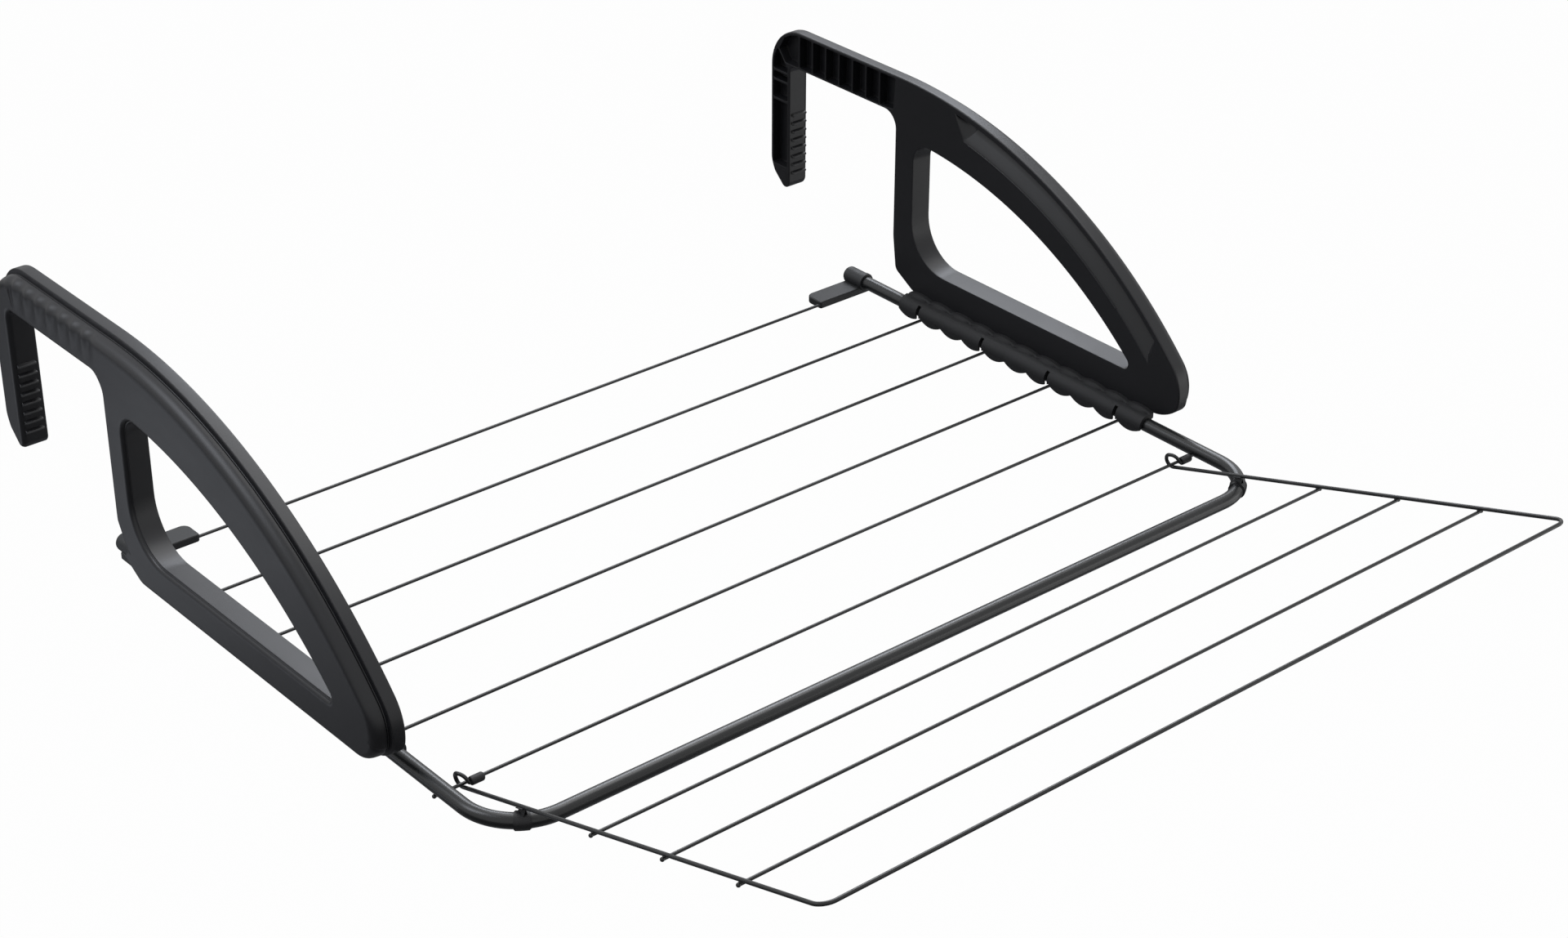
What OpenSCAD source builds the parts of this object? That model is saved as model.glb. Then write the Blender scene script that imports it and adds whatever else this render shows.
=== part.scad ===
// Hook-over drying rack: a U-shaped steel tube with cross wires, a fold-out wire wing,
// and two moulded brackets that hang over a rail and fold flat over the wires.
// Every piece is drawn with the tube axis in the plane z = 0 and the open tube ends at
// y = 0, and is then moved so that the rail seat of the brackets is the origin.

/* [Tube frame] */
// Distance between the axes of the two side tubes
frame_w = 640; // [480:10:900]
// Distance from the open tube ends to the axis of the front bar
frame_len = 426; // [418:2:520]
// Outside diameter of the tube
tube_d = 10; // [8:0.5:12]
// Wall thickness of the tube
tube_wall = 1; // [0.8:0.1:1.5]
// Bend radius of the tube at its axis
bend_r = 40; // [36:1:44]

/* [Rack wires] */
// Diameter of the rack wires and of the pivot wire
wire_d = 2.2; // [1.8:0.1:2.6]
// Distance of the wall-side wire from the open tube ends
wall_wire_in = 12; // [11:0.5:13]
// Distance of the pivot wire from the axis of the front bar
pivot_wire_in = 66; // [60:1:72]
// How far a wire reaches past the tube axis
wire_reach = 4; // [2:0.5:5]

/* [Fold-out wing] */
// Distance from the axis of a side tube in to the side wire of the wing
wing_in = 18; // [17:0.5:22]
// Distance from the pivot wire to the outer bar of the wing
wing_len = 337; // [320:1:340]
// Diameter of the wire of the wing frame
wing_frame_d = 2.6; // [2.2:0.1:3]
// Diameter of the cross wires of the wing
wing_wire_d = 2.2; // [1.8:0.1:2.4]
// Distance from the pivot wire to the first cross wire of the wing
wing_first = 133; // [110:0.5:150]
// Distance between the cross wires of the wing
wing_pitch = 67.7; // [50:0.1:68]
// Upward tilt of the open wing
wing_tilt = 17.5; // [17:0.5:20]
// Corner radius of the wing frame
wing_corner_r = 9; // [6:1:14]
// How far a cross wire of the wing reaches past the side wires
wing_reach = 2.5; // [1.5:0.5:4]
// Radius of the eye at its wire axis
eye_r = 5; // [4.6:0.1:6]
// Gap between the eye and the pivot wire it turns on
eye_gap = 0.3; // [0.1:0.1:0.6]
// Length of the cap on the end of the eye wire
eye_cap_len = 10; // [8:1:11]
// Diameter of the cap on the end of the eye wire
eye_cap_d = 5; // [4:0.2:5.4]

/* [Bracket] */
// Height of the rail seat above the tube axis
seat_h = 147; // [137:1:155]
// Clear width of the hook, from its leg to the bracket body
hook_gap = 123; // [100:1:140]
// Depth of the hook arm
arm_h = 30; // [26:1:36]
// Width of the hook leg
leg_w = 22; // [19:1:26]
// How far the hook leg reaches below the seat
leg_drop = 107; // [90:1:112]
// Total thickness of the bracket
bracket_t = 19; // [17:0.5:22]
// Distance from the tube axis to the inner face of the bracket
bracket_out = 6; // [5.5:0.1:7]
// Distance from the tube ends back to the body of the bracket
body_back = 37; // [30:1:42]
// Height of the lower edge of the bracket above the tube axis
body_low = 7; // [6.5:0.5:9]
// Height of the lower bar of the bracket
bar_h = 24; // [20:1:30]
// Width of the back post of the bracket
post_w = 21; // [16:1:26]
// Distance from the body back to where the arch leaves the flat top
arch_start = 3; // [0:1:6]
// Width of the arch
arch_w = 43.5; // [38:0.5:46]
// Height of the nose centre above the tube axis
nose_h = 28; // [26:0.5:30]
// Radius of the nose, where the arch turns down to the lower bar
nose_r = 34; // [30:1:38]
// Distance from the pivot wire back to the tip of the nose
nose_in = 21; // [18:1:27]
// Width of the flat band along the inner side of the top and the arch
band_w = 9; // [7:0.5:10]
// Width of the groove between the band and the rounded shoulder
groove_w = 2; // [1.5:0.1:2.5]
// Depth of that groove
groove_depth = 4; // [3:0.1:5]
// Radius of the rounded shoulder along the outer side of the arch
shoulder = 8; // [6:0.5:9]
// Small chamfer on the moulded edges
edge = 1.5; // [1:0.1:2]
// Number of stiffening ribs in the hook arm
arm_ribs = 7; // [5:1:7]
// Distance from the leg to the first rib of the hook arm
rib_first = 12; // [8:1:16]
// Distance from the body to the last rib of the hook arm
rib_last = 18; // [14:1:22]
// Thickness of the stiffening ribs
rib_t = 2; // [1.5:0.1:2.5]
// Material between the floors of the pockets and the groove
pocket_skin = 1.5; // [1:0.1:2.5]
// Rim that is left around the pockets
pocket_rim = 3; // [2.5:0.1:4]
// Number of grip teeth on the hook leg
tooth_count = 8; // [4:1:8]
// Distance between the grip teeth
tooth_pitch = 7; // [6:0.5:7.5]
// Height of the grip teeth
tooth_h = 3; // [1.5:0.1:3.5]
// Height of the first grip tooth above the end of the leg
tooth_first = 14; // [10:1:18]

/* [Tube clip] */
// Wall thickness of the clip around the tube
clip_wall = 2.8; // [2.2:0.1:3.2]
// Gap between the clip and the tube it turns on
turn_gap = 0.06; // [0.04:0.01:0.1]
// Distance that the clip reaches past its first wire, towards the body
clip_over = 16; // [14:1:18]
// Distance from the tip of the nose back to the front end of the clip
clip_in = 12; // [8:1:20]
// How far the clip reaches up the inner face of the bracket
clip_lap = 3; // [2.5:0.5:12]
// Distance from the tube axis down to the cusps between the scallops
cusp_low = 2; // [1.5:0.1:3.5]
// Width of the slots that let the wires pass
slot_w = 3.4; // [2.8:0.1:4]

/* [Tube end feet] */
// Outside diameter of the sleeve on the tube end
foot_d = 14; // [13:0.5:15]
// Length of tube inside the sleeve
foot_sleeve = 15; // [14.5:0.5:20]
// Thickness of the closed end of the sleeve
foot_end = 8; // [5:0.5:10]
// Length of the tongue, from the tube axis
tongue_len = 46; // [36:1:60]
// Width of the tongue
tongue_w = 18; // [16:0.5:20]
// Thickness of the tongue
tongue_t = 6; // [5:0.2:6.2]
// Radius of the inner corner of the tongue
tongue_r = 6; // [4:0.5:8]
// How far the tongue reaches past the wire, away from the tube end
tongue_over = 2; // [1.5:0.1:2.5]

/* [Wing rests] */
// Length of the rest along the tube bend, in degrees
rest_angle = 17; // [14:1:22]
// Wall thickness of the rest around the tube
rest_wall = 1.6; // [1.2:0.1:2]
// Width of the pad under the side wire
pad_w = 7; // [5:0.5:9]
// Length of the pad under the side wire
pad_len = 8; // [6:0.5:10]

/* [Hidden] */

$fn = 48;
// Gap at a weld or a push fit, and the gap at which one wire rests on another
weld_gap = 0.02;
rest_gap = 0.1;
// Long enough to cut right through any piece
far = 400;

tube_r = tube_d / 2;
wire_r = wire_d / 2;
wing_r = wing_frame_d / 2;
side_x = frame_w / 2;
wire_z = -tube_r - wire_r - weld_gap;
wire_pitch = (frame_len - wall_wire_in - pivot_wire_in) / 5;
wire_y = [for (i = [0:5]) -wall_wire_in - i * wire_pitch];
pivot_y = wire_y[5];
bend_x = side_x - bend_r;
bend_y = -frame_len + bend_r;

// The hook and the body of the bracket, in the plane of the bracket
post_y = -body_back;
leg_y = post_y + hook_gap;
top_z = seat_h + arm_h;
hook_r = 6;
post_fillet = 13;
corner_r = arm_h + 4;
leg_tip_z = seat_h - leg_drop;
// The end of the leg tapers from tip_taper up to tip_bend, each [width, height], and ends in a toe
tip_taper = [0, 22];
tip_bend = [4, 13];
toe = [3, 2];
// The heel is the lower back corner of the body, below the upright face of the post
heel_in = [3.5, 25];
heel_up = [12.5, 40];

// The arch leaves the flat top at arch_start and runs smoothly into the nose
nose_c = [pivot_y + nose_in + nose_r, nose_h];
nose_span = post_y - arch_start - nose_c[0];
nose_drop = top_z - nose_h;
arch_r = (pow(nose_span, 2) + pow(nose_drop, 2) - pow(nose_r, 2)) / (2 * (nose_drop - nose_r));
arch_c = [post_y - arch_start, top_z - arch_r];
nose_turn = asin(nose_span / (arch_r - nose_r));
// Below the nose the chin rises from the lower edge to meet it
nose_end = 108;
chin_end = 133;
chin_c = [nose_c[0] - 7.5, body_low + nose_r];

// The window of the bracket
win_back = post_y - post_w;
win_low = body_low + bar_h;
win_r = arch_r - arch_w;
// The arch narrows towards the nose, because its inner edge is centred further forward
win_shift = [8, 3];
win_c = arch_c - win_shift;
win_low_r = 36;
win_top_r = 15;

// Layers of the bracket from its inner face outwards: [start, end, inset of the top, edge inset]
face_x = side_x + bracket_out;
crown_low = band_w + groove_w;
crown_in = 1.5;
crown_steps = [0, 0.4, 0.7, 0.88, 1];
crown_t = bracket_t - crown_low;
layers = concat(
    [[0, edge, 0, edge], [edge, band_w, 0, 0], [band_w, crown_low, groove_depth, 0]],
    [for (k = [0:3]) let (mid = (crown_steps[k] + crown_steps[k + 1]) / 2)
        [crown_low + crown_t * crown_steps[k], crown_low + crown_t * crown_steps[k + 1],
            crown_in + shoulder * (1 - sqrt(1 - pow(mid, 2))), k == 3 ? edge : 0]]);

// Ribs and pockets on the inner side
rib_pitch = (hook_gap - rib_first - rib_last) / (arm_ribs - 1);
pocket_lip = pocket_rim + 1;
pocket_depth = band_w - pocket_skin;
// Tops of the pockets in the leg, below the seat, and the bottom of the last one above the tip
leg_pockets = [6, 17, 33];
leg_pocket_end = 20;
brace_angle = 50;
brace_in = [3, 2];
// Width of a grip tooth at its root and at its tip
tooth_root = 4.6;
tooth_tip = 0.8;

clip_r = tube_r + turn_gap;
clip_back = wire_y[1] + clip_over;
clip_front = pivot_y + nose_in + clip_in;
clip_mouth = 1.5;
scallop_pitch = wire_pitch / 3;
scallop_steps = 8;
// The wires pass through slots when the bracket folds
slot_in = -wire_z - wire_r - eye_gap;

// Distance from the pivot axis to the axis of a side wire of the wing
wing_off = wire_r + wing_r + eye_gap;
wing_x = side_x - wing_in;
eye_up = eye_r - wing_off;
// The eye wire turns this far round the eye, bends aside and ends in its cap
eye_turn = 280;
tail_ball_r = wing_r + 0.15;
cap_tip = 1;

// Points on an arc, with 0 degrees at its top and 90 degrees at its front
function arc(c, r, a0, a1, n, first = 0) =
    [for (i = [first:n]) let (a = a0 + (a1 - a0) * i / n) c + r * [-sin(a), cos(a)]];

// The chin of the bracket, from its lower edge up to the nose: s fades in towards the nose
function chin(s, e) = [for (k = [0:5]) let (
        a = 180 + (chin_end - 180) * k / 6,
        p = chin_c + (nose_r - e) * [-sin(a), cos(a)])
    p + s * max(0, (k - 2) / 4) * (nose_c - p) / norm(nose_c - p)];

// Outer outline of the bracket: s insets the top and the arch, e insets every edge
function outline(s, e) = concat(
    [[post_y - heel_in[1], body_low + e]],
    chin(s, e),
    arc(nose_c, nose_r - s - e, nose_end, nose_turn, 12),
    arc(arch_c, arch_r - s - e, nose_turn, 0, 18, 1),
    [for (a = [0:10:90]) [leg_y + leg_w - corner_r + (corner_r - e) * sin(a),
        top_z - corner_r + (corner_r - s - e) * cos(a)]],
    [[leg_y + leg_w - tip_taper[0] - e, leg_tip_z + tip_taper[1]],
        [leg_y + leg_w - tip_bend[0], leg_tip_z + tip_bend[1]],
        [leg_y + toe[0], leg_tip_z + e], [leg_y + e, leg_tip_z + toe[1] + e]],
    arc([leg_y - hook_r, seat_h - hook_r], hook_r + e, -90, 0, 4),
    arc([post_y + post_fillet, seat_h - post_fillet], post_fillet + e, 0, 90, 6),
    [[post_y - e, body_low + heel_up[1]], [post_y - heel_in[0] - e, body_low + heel_up[0]]]);

// The open window: e widens it at the chamfered faces
function window(e) = let (
        r = win_r + e, low = win_low - e,
        top_c = [win_back - win_top_r, win_c[1]
            + sqrt(pow(win_r - win_top_r, 2) - pow(win_c[0] - win_back + win_top_r, 2))],
        top_a = asin((win_c[0] - top_c[0]) / (win_r - win_top_r)),
        tip_a = acos((low - win_c[1]) / r))
    concat(
        arc([win_back - win_low_r, win_low + win_low_r], win_low_r + e, -180, -90, 9),
        arc(top_c, win_top_r + e, -90, top_a, 7),
        arc(win_c, r, top_a, tip_a, 14, 1));

// Turns a drawing in the y-z plane into a solid that starts at x and is t thick
module slab(x, t) {
    translate([x, 0, 0]) rotate([90, 0, 90]) linear_extrude(t) children();
}

// Moves a piece from the tube frame to the rail seat
module placed() {
    translate([0, (body_back - hook_gap / 2), -seat_h]) children();
}

module for_side(side) {
    if (side < 0) mirror([1, 0, 0]) children();
    else children();
}

module cross_wire(y) {
    placed() translate([-side_x - wire_reach, y, wire_z]) rotate([0, 90, 0])
        cylinder(d = wire_d, h = frame_w + 2 * wire_reach);
}

module tube_ring(r) {
    difference() {
        circle(r);
        circle(r - tube_wall);
    }
}

module main_tube() {
    color("#1d1e20") placed() {
        for (side = [-1, 1]) {
            translate([side * side_x, bend_y, 0]) rotate([-90, 0, 0])
                linear_extrude(-bend_y) tube_ring(tube_r);
            for_side(side) translate([bend_x, bend_y, 0]) rotate([0, 0, -90])
                rotate_extrude(angle = 90) translate([bend_r, 0]) tube_ring(tube_r);
        }
        translate([-bend_x, -frame_len, 0]) rotate([0, 90, 0])
            linear_extrude(2 * bend_x) tube_ring(tube_r);
    }
}

module wall_wire() {
    color("#232426") cross_wire(wire_y[0]);
}

module rack_wire(i) {
    color("#232426") cross_wire(wire_y[i]);
}

module pivot_wire() {
    color("#232426") cross_wire(pivot_y);
}

// Foot on an open tube end, with a tongue that lies along the wall-side wire
module foot(side) {
    tongue_z = wire_z - tongue_t / 2;
    tongue_y = -wall_wire_in - tongue_over;
    tongue_out = side_x + foot_d / 2;
    tongue_x = side_x - tongue_len;
    color("#3a3b3e") placed() for_side(side) difference() {
        union() {
            translate([side_x, -foot_sleeve, 0]) rotate([-90, 0, 0])
                cylinder(d = foot_d, h = foot_sleeve + foot_end - foot_d / 4);
            translate([side_x, foot_end - foot_d / 4, 0]) rotate([-90, 0, 0])
                cylinder(d1 = foot_d, d2 = foot_d / 2, h = foot_d / 4);
            translate([0, 0, tongue_z]) linear_extrude(tongue_t) polygon(concat(
                [[tongue_out, tongue_y], [tongue_x + tongue_r / 3, tongue_y],
                    [tongue_x, tongue_y + tongue_r / 3]],
                arc([tongue_x + tongue_r, tongue_y + tongue_w - tongue_r], tongue_r, 90, 0, 6),
                [[side_x, tongue_y + tongue_w], [tongue_out, tongue_y + tongue_w - tongue_r]]));
        }
        translate([side_x, -foot_sleeve - 1, 0]) rotate([-90, 0, 0])
            cylinder(r = tube_r + weld_gap, h = foot_sleeve + 1 + weld_gap);
        translate([side_x - tongue_len - 1, wire_y[0], wire_z]) rotate([0, 90, 0])
            cylinder(r = wire_r + weld_gap, h = tongue_len + 1 + wire_reach + weld_gap);
    }
}

// Rest on the tube bend that carries a side wire of the open wing
module wing_rest(side) {
    rest_r = tube_r + rest_wall;
    cross = acos((wing_x - bend_x) / bend_r);
    cross_y = bend_y - bend_r * sin(cross);
    wire_top = wire_z - wing_off / cos(wing_tilt) + (pivot_y - cross_y) * tan(wing_tilt);
    color("#2b2c2f") placed() for_side(side) difference() {
        union() {
            translate([bend_x, bend_y, 0]) rotate([0, 0, -cross - rest_angle / 2])
                rotate_extrude(angle = rest_angle) translate([bend_r, 0]) circle(rest_r);
            translate([wing_x - pad_w / 2, cross_y - pad_len / 2, 0])
                cube([pad_w, pad_len, wire_top - rest_gap]);
        }
        translate([bend_x, bend_y, 0]) rotate([0, 0, -90])
            rotate_extrude(angle = 90) translate([bend_r, 0]) circle(tube_r + weld_gap);
        translate([wing_x, cross_y, wire_top]) rotate([90 - wing_tilt, 0, 0])
            cylinder(r = wing_r + rest_gap, h = 4 * pad_len, center = true);
    }
}

module bracket_pockets() {
    first = leg_y - rib_first;
    floor_z = seat_h + pocket_rim;
    roof_z = top_z - pocket_lip;
    sill_z = seat_h - pocket_lip;
    depth = pocket_depth + 1;
    // Pockets between the ribs of the arm
    for (i = [0:arm_ribs - 2])
        slab(face_x - 1, depth) translate([first - (i + 1) * rib_pitch + rib_t, floor_z])
            square([rib_pitch - rib_t, roof_z - floor_z]);
    // Pocket in the corner of the hook, parted by a diagonal rib
    slab(face_x - 1, depth) difference() {
        polygon(concat(
            [[first + rib_t, floor_z], [leg_y + pocket_rim, sill_z],
                [leg_y + leg_w - pocket_rim, sill_z]],
            [for (a = [90:-15:30]) [leg_y + leg_w - corner_r + (corner_r - pocket_rim) * sin(a),
                top_z - corner_r + (corner_r - pocket_lip) * cos(a)]],
            [[first + rib_t, roof_z]]));
        translate([leg_y - brace_in[0], seat_h + brace_in[1]]) rotate(brace_angle)
            square([2 * leg_w, rib_t]);
    }
    // Pockets of the leg, parted by two short ribs
    for (i = [0:2]) {
        top = seat_h - leg_pockets[i];
        low = i < 2 ? seat_h - leg_pockets[i + 1] + rib_t : leg_tip_z + leg_pocket_end;
        slab(face_x - 1, depth) translate([leg_y + pocket_rim, low])
            square([leg_w - 2 * pocket_rim, top - low]);
    }
    // Long hollow behind the lip of the arch
    slab(face_x - 1, 0.6 * depth) polygon(concat(
        arc(arch_c, arch_r - pocket_lip, nose_turn - 4, 8, 14),
        arc(arch_c, win_r + arch_w / 2, 11, nose_turn - 1, 14)));
}

// Moulded bracket: hook, back post, lower bar and arch around an open window
module bracket(side) {
    color("#3c3d40") placed() for_side(side) {
        difference() {
            for (l = layers)
                slab(face_x + l[0], l[1] - l[0]) difference() {
                    polygon(outline(l[2], l[3]));
                    polygon(window(l[3]));
                }
            bracket_pockets();
        }
        for (i = [0:tooth_count - 1])
            slab(face_x + edge, bracket_t - 2 * edge)
                translate([leg_y, leg_tip_z + tooth_first + i * tooth_pitch])
                polygon([[edge, -tooth_root / 2], [-tooth_h, -tooth_tip / 2],
                    [-tooth_h, tooth_tip / 2], [edge, tooth_root / 2]]);
    }
}

// Scalloped clip that holds the bracket on the side tube and lets it turn
module tube_clip(side) {
    outer_r = clip_r + clip_wall;
    clip_len = clip_back - clip_front;
    color("#303134") placed() for_side(side) difference() {
        union() {
            translate([side_x, clip_front, 0]) rotate([-90, 0, 0])
                cylinder(r = outer_r, h = clip_len);
            translate([side_x, clip_front, 0]) cube([bracket_out, clip_len, body_low + clip_lap]);
        }
        translate([side_x, clip_front - 1, 0]) rotate([-90, 0, 0])
            cylinder(r = clip_r, h = clip_len + 2);
        // The lower outer side is open, so that the clip snaps over the tube
        translate([side_x - clip_mouth, clip_front - 1, -far]) cube([far, clip_len + 2, far - 1]);
        translate([side_x + bracket_out, clip_front - 1, -far]) cube([far, clip_len + 2, 2 * far]);
        // Scallops along the lower edge, and slots for the wires
        slab(side_x - far, far) polygon(concat(
            [[clip_back + 1, -far], [clip_front - 1, -far]],
            [for (k = [ceil((clip_back - clip_front) / scallop_pitch * scallop_steps):-1:-scallop_steps])
                let (y = wire_y[1] - scallop_pitch * k / scallop_steps,
                    t = 2 * (k / scallop_steps - floor(k / scallop_steps)) - 1)
                if (y < clip_back + 1 && y > clip_front - 1)
                    [y, -outer_r + (outer_r - cusp_low) * (1 - sqrt(1 - t * t))]]));
        for (i = [1:4]) translate([side_x - far, wire_y[i] - slot_w / 2, -far]) {
            cube([far, slot_w, far]);
            cube([far - slot_in, slot_w, 2 * far]);
        }
    }
}

// Puts the wing at its open angle: its own frame has the pivot axis at the origin
module on_pivot() {
    placed() translate([0, pivot_y, wire_z]) rotate([-wing_tilt, 0, 0]) children();
}

module wing_frame() {
    straight = wing_len - wing_corner_r;
    color("#232426") on_pivot() {
        for (side = [-1, 1]) for_side(side) {
            translate([wing_x, 0, -wing_off]) rotate([90, 0, 0]) cylinder(r = wing_r, h = straight);
            translate([wing_x - wing_corner_r, -straight, -wing_off]) rotate([0, 0, -90])
                rotate_extrude(angle = 90) translate([wing_corner_r, 0]) circle(wing_r);
        }
        translate([-wing_x + wing_corner_r, -wing_len, -wing_off]) rotate([0, 90, 0])
            cylinder(r = wing_r, h = 2 * (wing_x - wing_corner_r));
        for (side = [-1, 1]) translate([side * wing_x, 0, eye_up]) rotate([0, 90, 0]) {
            // The eye leaves the side wire at its bottom and turns back, up and over
            rotate_extrude(angle = eye_turn) translate([eye_r, 0]) circle(wing_r);
            eye_tail() {
                sphere(tail_ball_r);
                cylinder(r = wing_r, h = eye_cap_len);
            }
        }
    }
}

// Moves a piece to the start of the straight tail of the eye wire, which runs along +Z
module eye_tail() {
    rotate([0, 0, eye_turn]) translate([eye_r, 0, 0]) children();
}

module wing_wire(i) {
    half = wing_x + wing_reach;
    color("#232426") on_pivot()
        translate([-half, -wing_first - (i - 1) * wing_pitch,
            -wing_off - wing_r - wing_wire_d / 2 - weld_gap])
        rotate([0, 90, 0]) cylinder(d = wing_wire_d, h = 2 * half);
}

// Cap on the free end of the eye wire
module eye_cap(side) {
    body_len = eye_cap_len - cap_tip;
    color("#2b2c2f") on_pivot() translate([side * wing_x, 0, eye_up]) rotate([0, 90, 0]) eye_tail()
        translate([0, 0, 2 * cap_tip]) difference() {
            union() {
                cylinder(d = eye_cap_d, h = body_len);
                translate([0, 0, body_len])
                    cylinder(d1 = eye_cap_d, d2 = eye_cap_d - 2 * cap_tip, h = cap_tip);
            }
            translate([0, 0, -cap_tip]) cylinder(r = wing_r + weld_gap, h = body_len + weld_gap);
        }
}

module left_foot() { foot(-1); }
module right_foot() { foot(1); }
module left_wing_rest() { wing_rest(-1); }
module right_wing_rest() { wing_rest(1); }
module left_bracket() { bracket(-1); }
module right_bracket() { bracket(1); }
module left_tube_clip() { tube_clip(-1); }
module right_tube_clip() { tube_clip(1); }
module left_eye_cap() { eye_cap(-1); }
module right_eye_cap() { eye_cap(1); }

main_tube();
wall_wire();
rack_wire(1);  // rack_wire_2
rack_wire(2);  // rack_wire_3
rack_wire(3);  // rack_wire_4
rack_wire(4);  // rack_wire_5
pivot_wire();
left_foot();
right_foot();
left_wing_rest();
right_wing_rest();
left_bracket();
right_bracket();
left_tube_clip();
right_tube_clip();
wing_frame();
wing_wire(1);  // wing_wire_1
wing_wire(2);  // wing_wire_2
wing_wire(3);  // wing_wire_3
left_eye_cap();
right_eye_cap();
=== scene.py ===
"""Looks of a hook-over drying rack.

A bent tube carries cross wires, a fold-out wire wing and two moulded brackets. Every piece is drawn
in millimetres in the tube frame: X runs along the cross wires, the axes of the tubes lie at Z = 0
and their open ends at Y = 0. A Datum then takes the piece to its place in metres.
"""
import logging
import math
from dataclasses import dataclass
from enum import Enum
from typing import Callable, Sequence

import bmesh
import bpy
from mathutils import Matrix, Vector


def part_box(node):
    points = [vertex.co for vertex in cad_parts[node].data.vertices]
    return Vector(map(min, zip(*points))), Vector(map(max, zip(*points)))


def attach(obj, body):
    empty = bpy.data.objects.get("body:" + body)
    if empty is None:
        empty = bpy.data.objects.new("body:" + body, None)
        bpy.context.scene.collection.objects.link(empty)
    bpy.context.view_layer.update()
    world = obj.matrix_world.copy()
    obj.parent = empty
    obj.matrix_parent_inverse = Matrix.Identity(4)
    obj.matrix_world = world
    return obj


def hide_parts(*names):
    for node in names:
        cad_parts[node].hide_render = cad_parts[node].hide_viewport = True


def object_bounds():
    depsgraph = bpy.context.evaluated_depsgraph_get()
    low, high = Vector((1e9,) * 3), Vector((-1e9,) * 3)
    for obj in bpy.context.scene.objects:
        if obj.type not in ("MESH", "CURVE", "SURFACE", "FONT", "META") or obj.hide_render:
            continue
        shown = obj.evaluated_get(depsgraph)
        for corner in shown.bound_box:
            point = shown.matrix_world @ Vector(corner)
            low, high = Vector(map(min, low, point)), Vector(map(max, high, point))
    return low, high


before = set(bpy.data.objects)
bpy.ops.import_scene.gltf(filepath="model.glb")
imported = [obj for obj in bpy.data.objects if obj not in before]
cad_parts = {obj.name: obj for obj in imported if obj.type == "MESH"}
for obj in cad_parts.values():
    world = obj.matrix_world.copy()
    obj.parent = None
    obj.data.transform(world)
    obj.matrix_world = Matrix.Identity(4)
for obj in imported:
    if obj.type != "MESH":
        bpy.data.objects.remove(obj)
cad_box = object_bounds()

LOG = logging.getLogger("drying_rack")

Mesh = bmesh.types.BMesh
Vert = bmesh.types.BMVert
Edge = bmesh.types.BMEdge
Material = bpy.types.Material
Socket = bpy.types.NodeSocket
Point = tuple[float, float]
Place = tuple[float, float, float]
Colour = tuple[float, float, float]

ALONG_X, ALONG_Y, ALONG_Z = Vector((1, 0, 0)), Vector((0, 1, 0)), Vector((0, 0, 1))
METRE_PER_MM = 0.001
# Gaps in millimetres: points merged, a line closed, pieces that touch, pieces that slide on.
MERGE_GAP, JOIN_GAP, TOUCH_GAP, SNUG_GAP = 0.0005, 0.05, 0.02, 0.05


class Side(Enum):
    """The two sides of the rack, seen by someone who stands in front of it."""

    LEFT = -1
    RIGHT = 1

    @property
    def label(self) -> str:
        """The first word of the names of this side's pieces."""
        return self.name.lower()

    @property
    def bracket_body(self) -> str:
        """The body that carries this side's bracket and clip."""
        return f"{self.label}_bracket_unit"


# ---------------------------------------------------------------- shaders


class Value:
    """A number that a shader node gives, used in ordinary Python arithmetic."""

    def __init__(self, graph: "Graph", socket: Socket) -> None:
        """Wraps an output socket.

        Args:
            graph: The graph that new Math nodes go to.
            socket: The output that gives the number.
        """
        self.graph = graph
        self.socket = socket

    def _with(self, operation: str, other: "Value | float", clamp: bool = False) -> "Value":
        """Adds a Math node that works on this value and another.

        Args:
            operation: What the node does.
            other: The second value or number.
            clamp: True if the result stays between 0 and 1.

        Returns:
            The result.
        """
        settings = {"operation": operation, "use_clamp": clamp}
        node = self.graph.node("ShaderNodeMath", settings, {0: self, 1: other})
        return Value(self.graph, node.outputs[0])

    def __add__(self, other: "Value | float") -> "Value":
        """Adds a value or a number."""
        return self._with("ADD", other)

    __radd__ = __add__

    def __sub__(self, other: "Value | float") -> "Value":
        """Takes a value or a number away."""
        return self._with("SUBTRACT", other)

    def __rsub__(self, other: float) -> "Value":
        """Takes this value away from a number."""
        return (self * -1.0) + other

    def __mul__(self, other: "Value | float") -> "Value":
        """Multiplies by a value or a number."""
        return self._with("MULTIPLY", other)

    __rmul__ = __mul__

    def over(self, low: float, high: float) -> "Value":
        """Maps low to 0 and high to 1, and keeps the result between them."""
        return ((self - low) * (1.0 / (high - low)))._with("ADD", 0.0, clamp=True)


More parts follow.
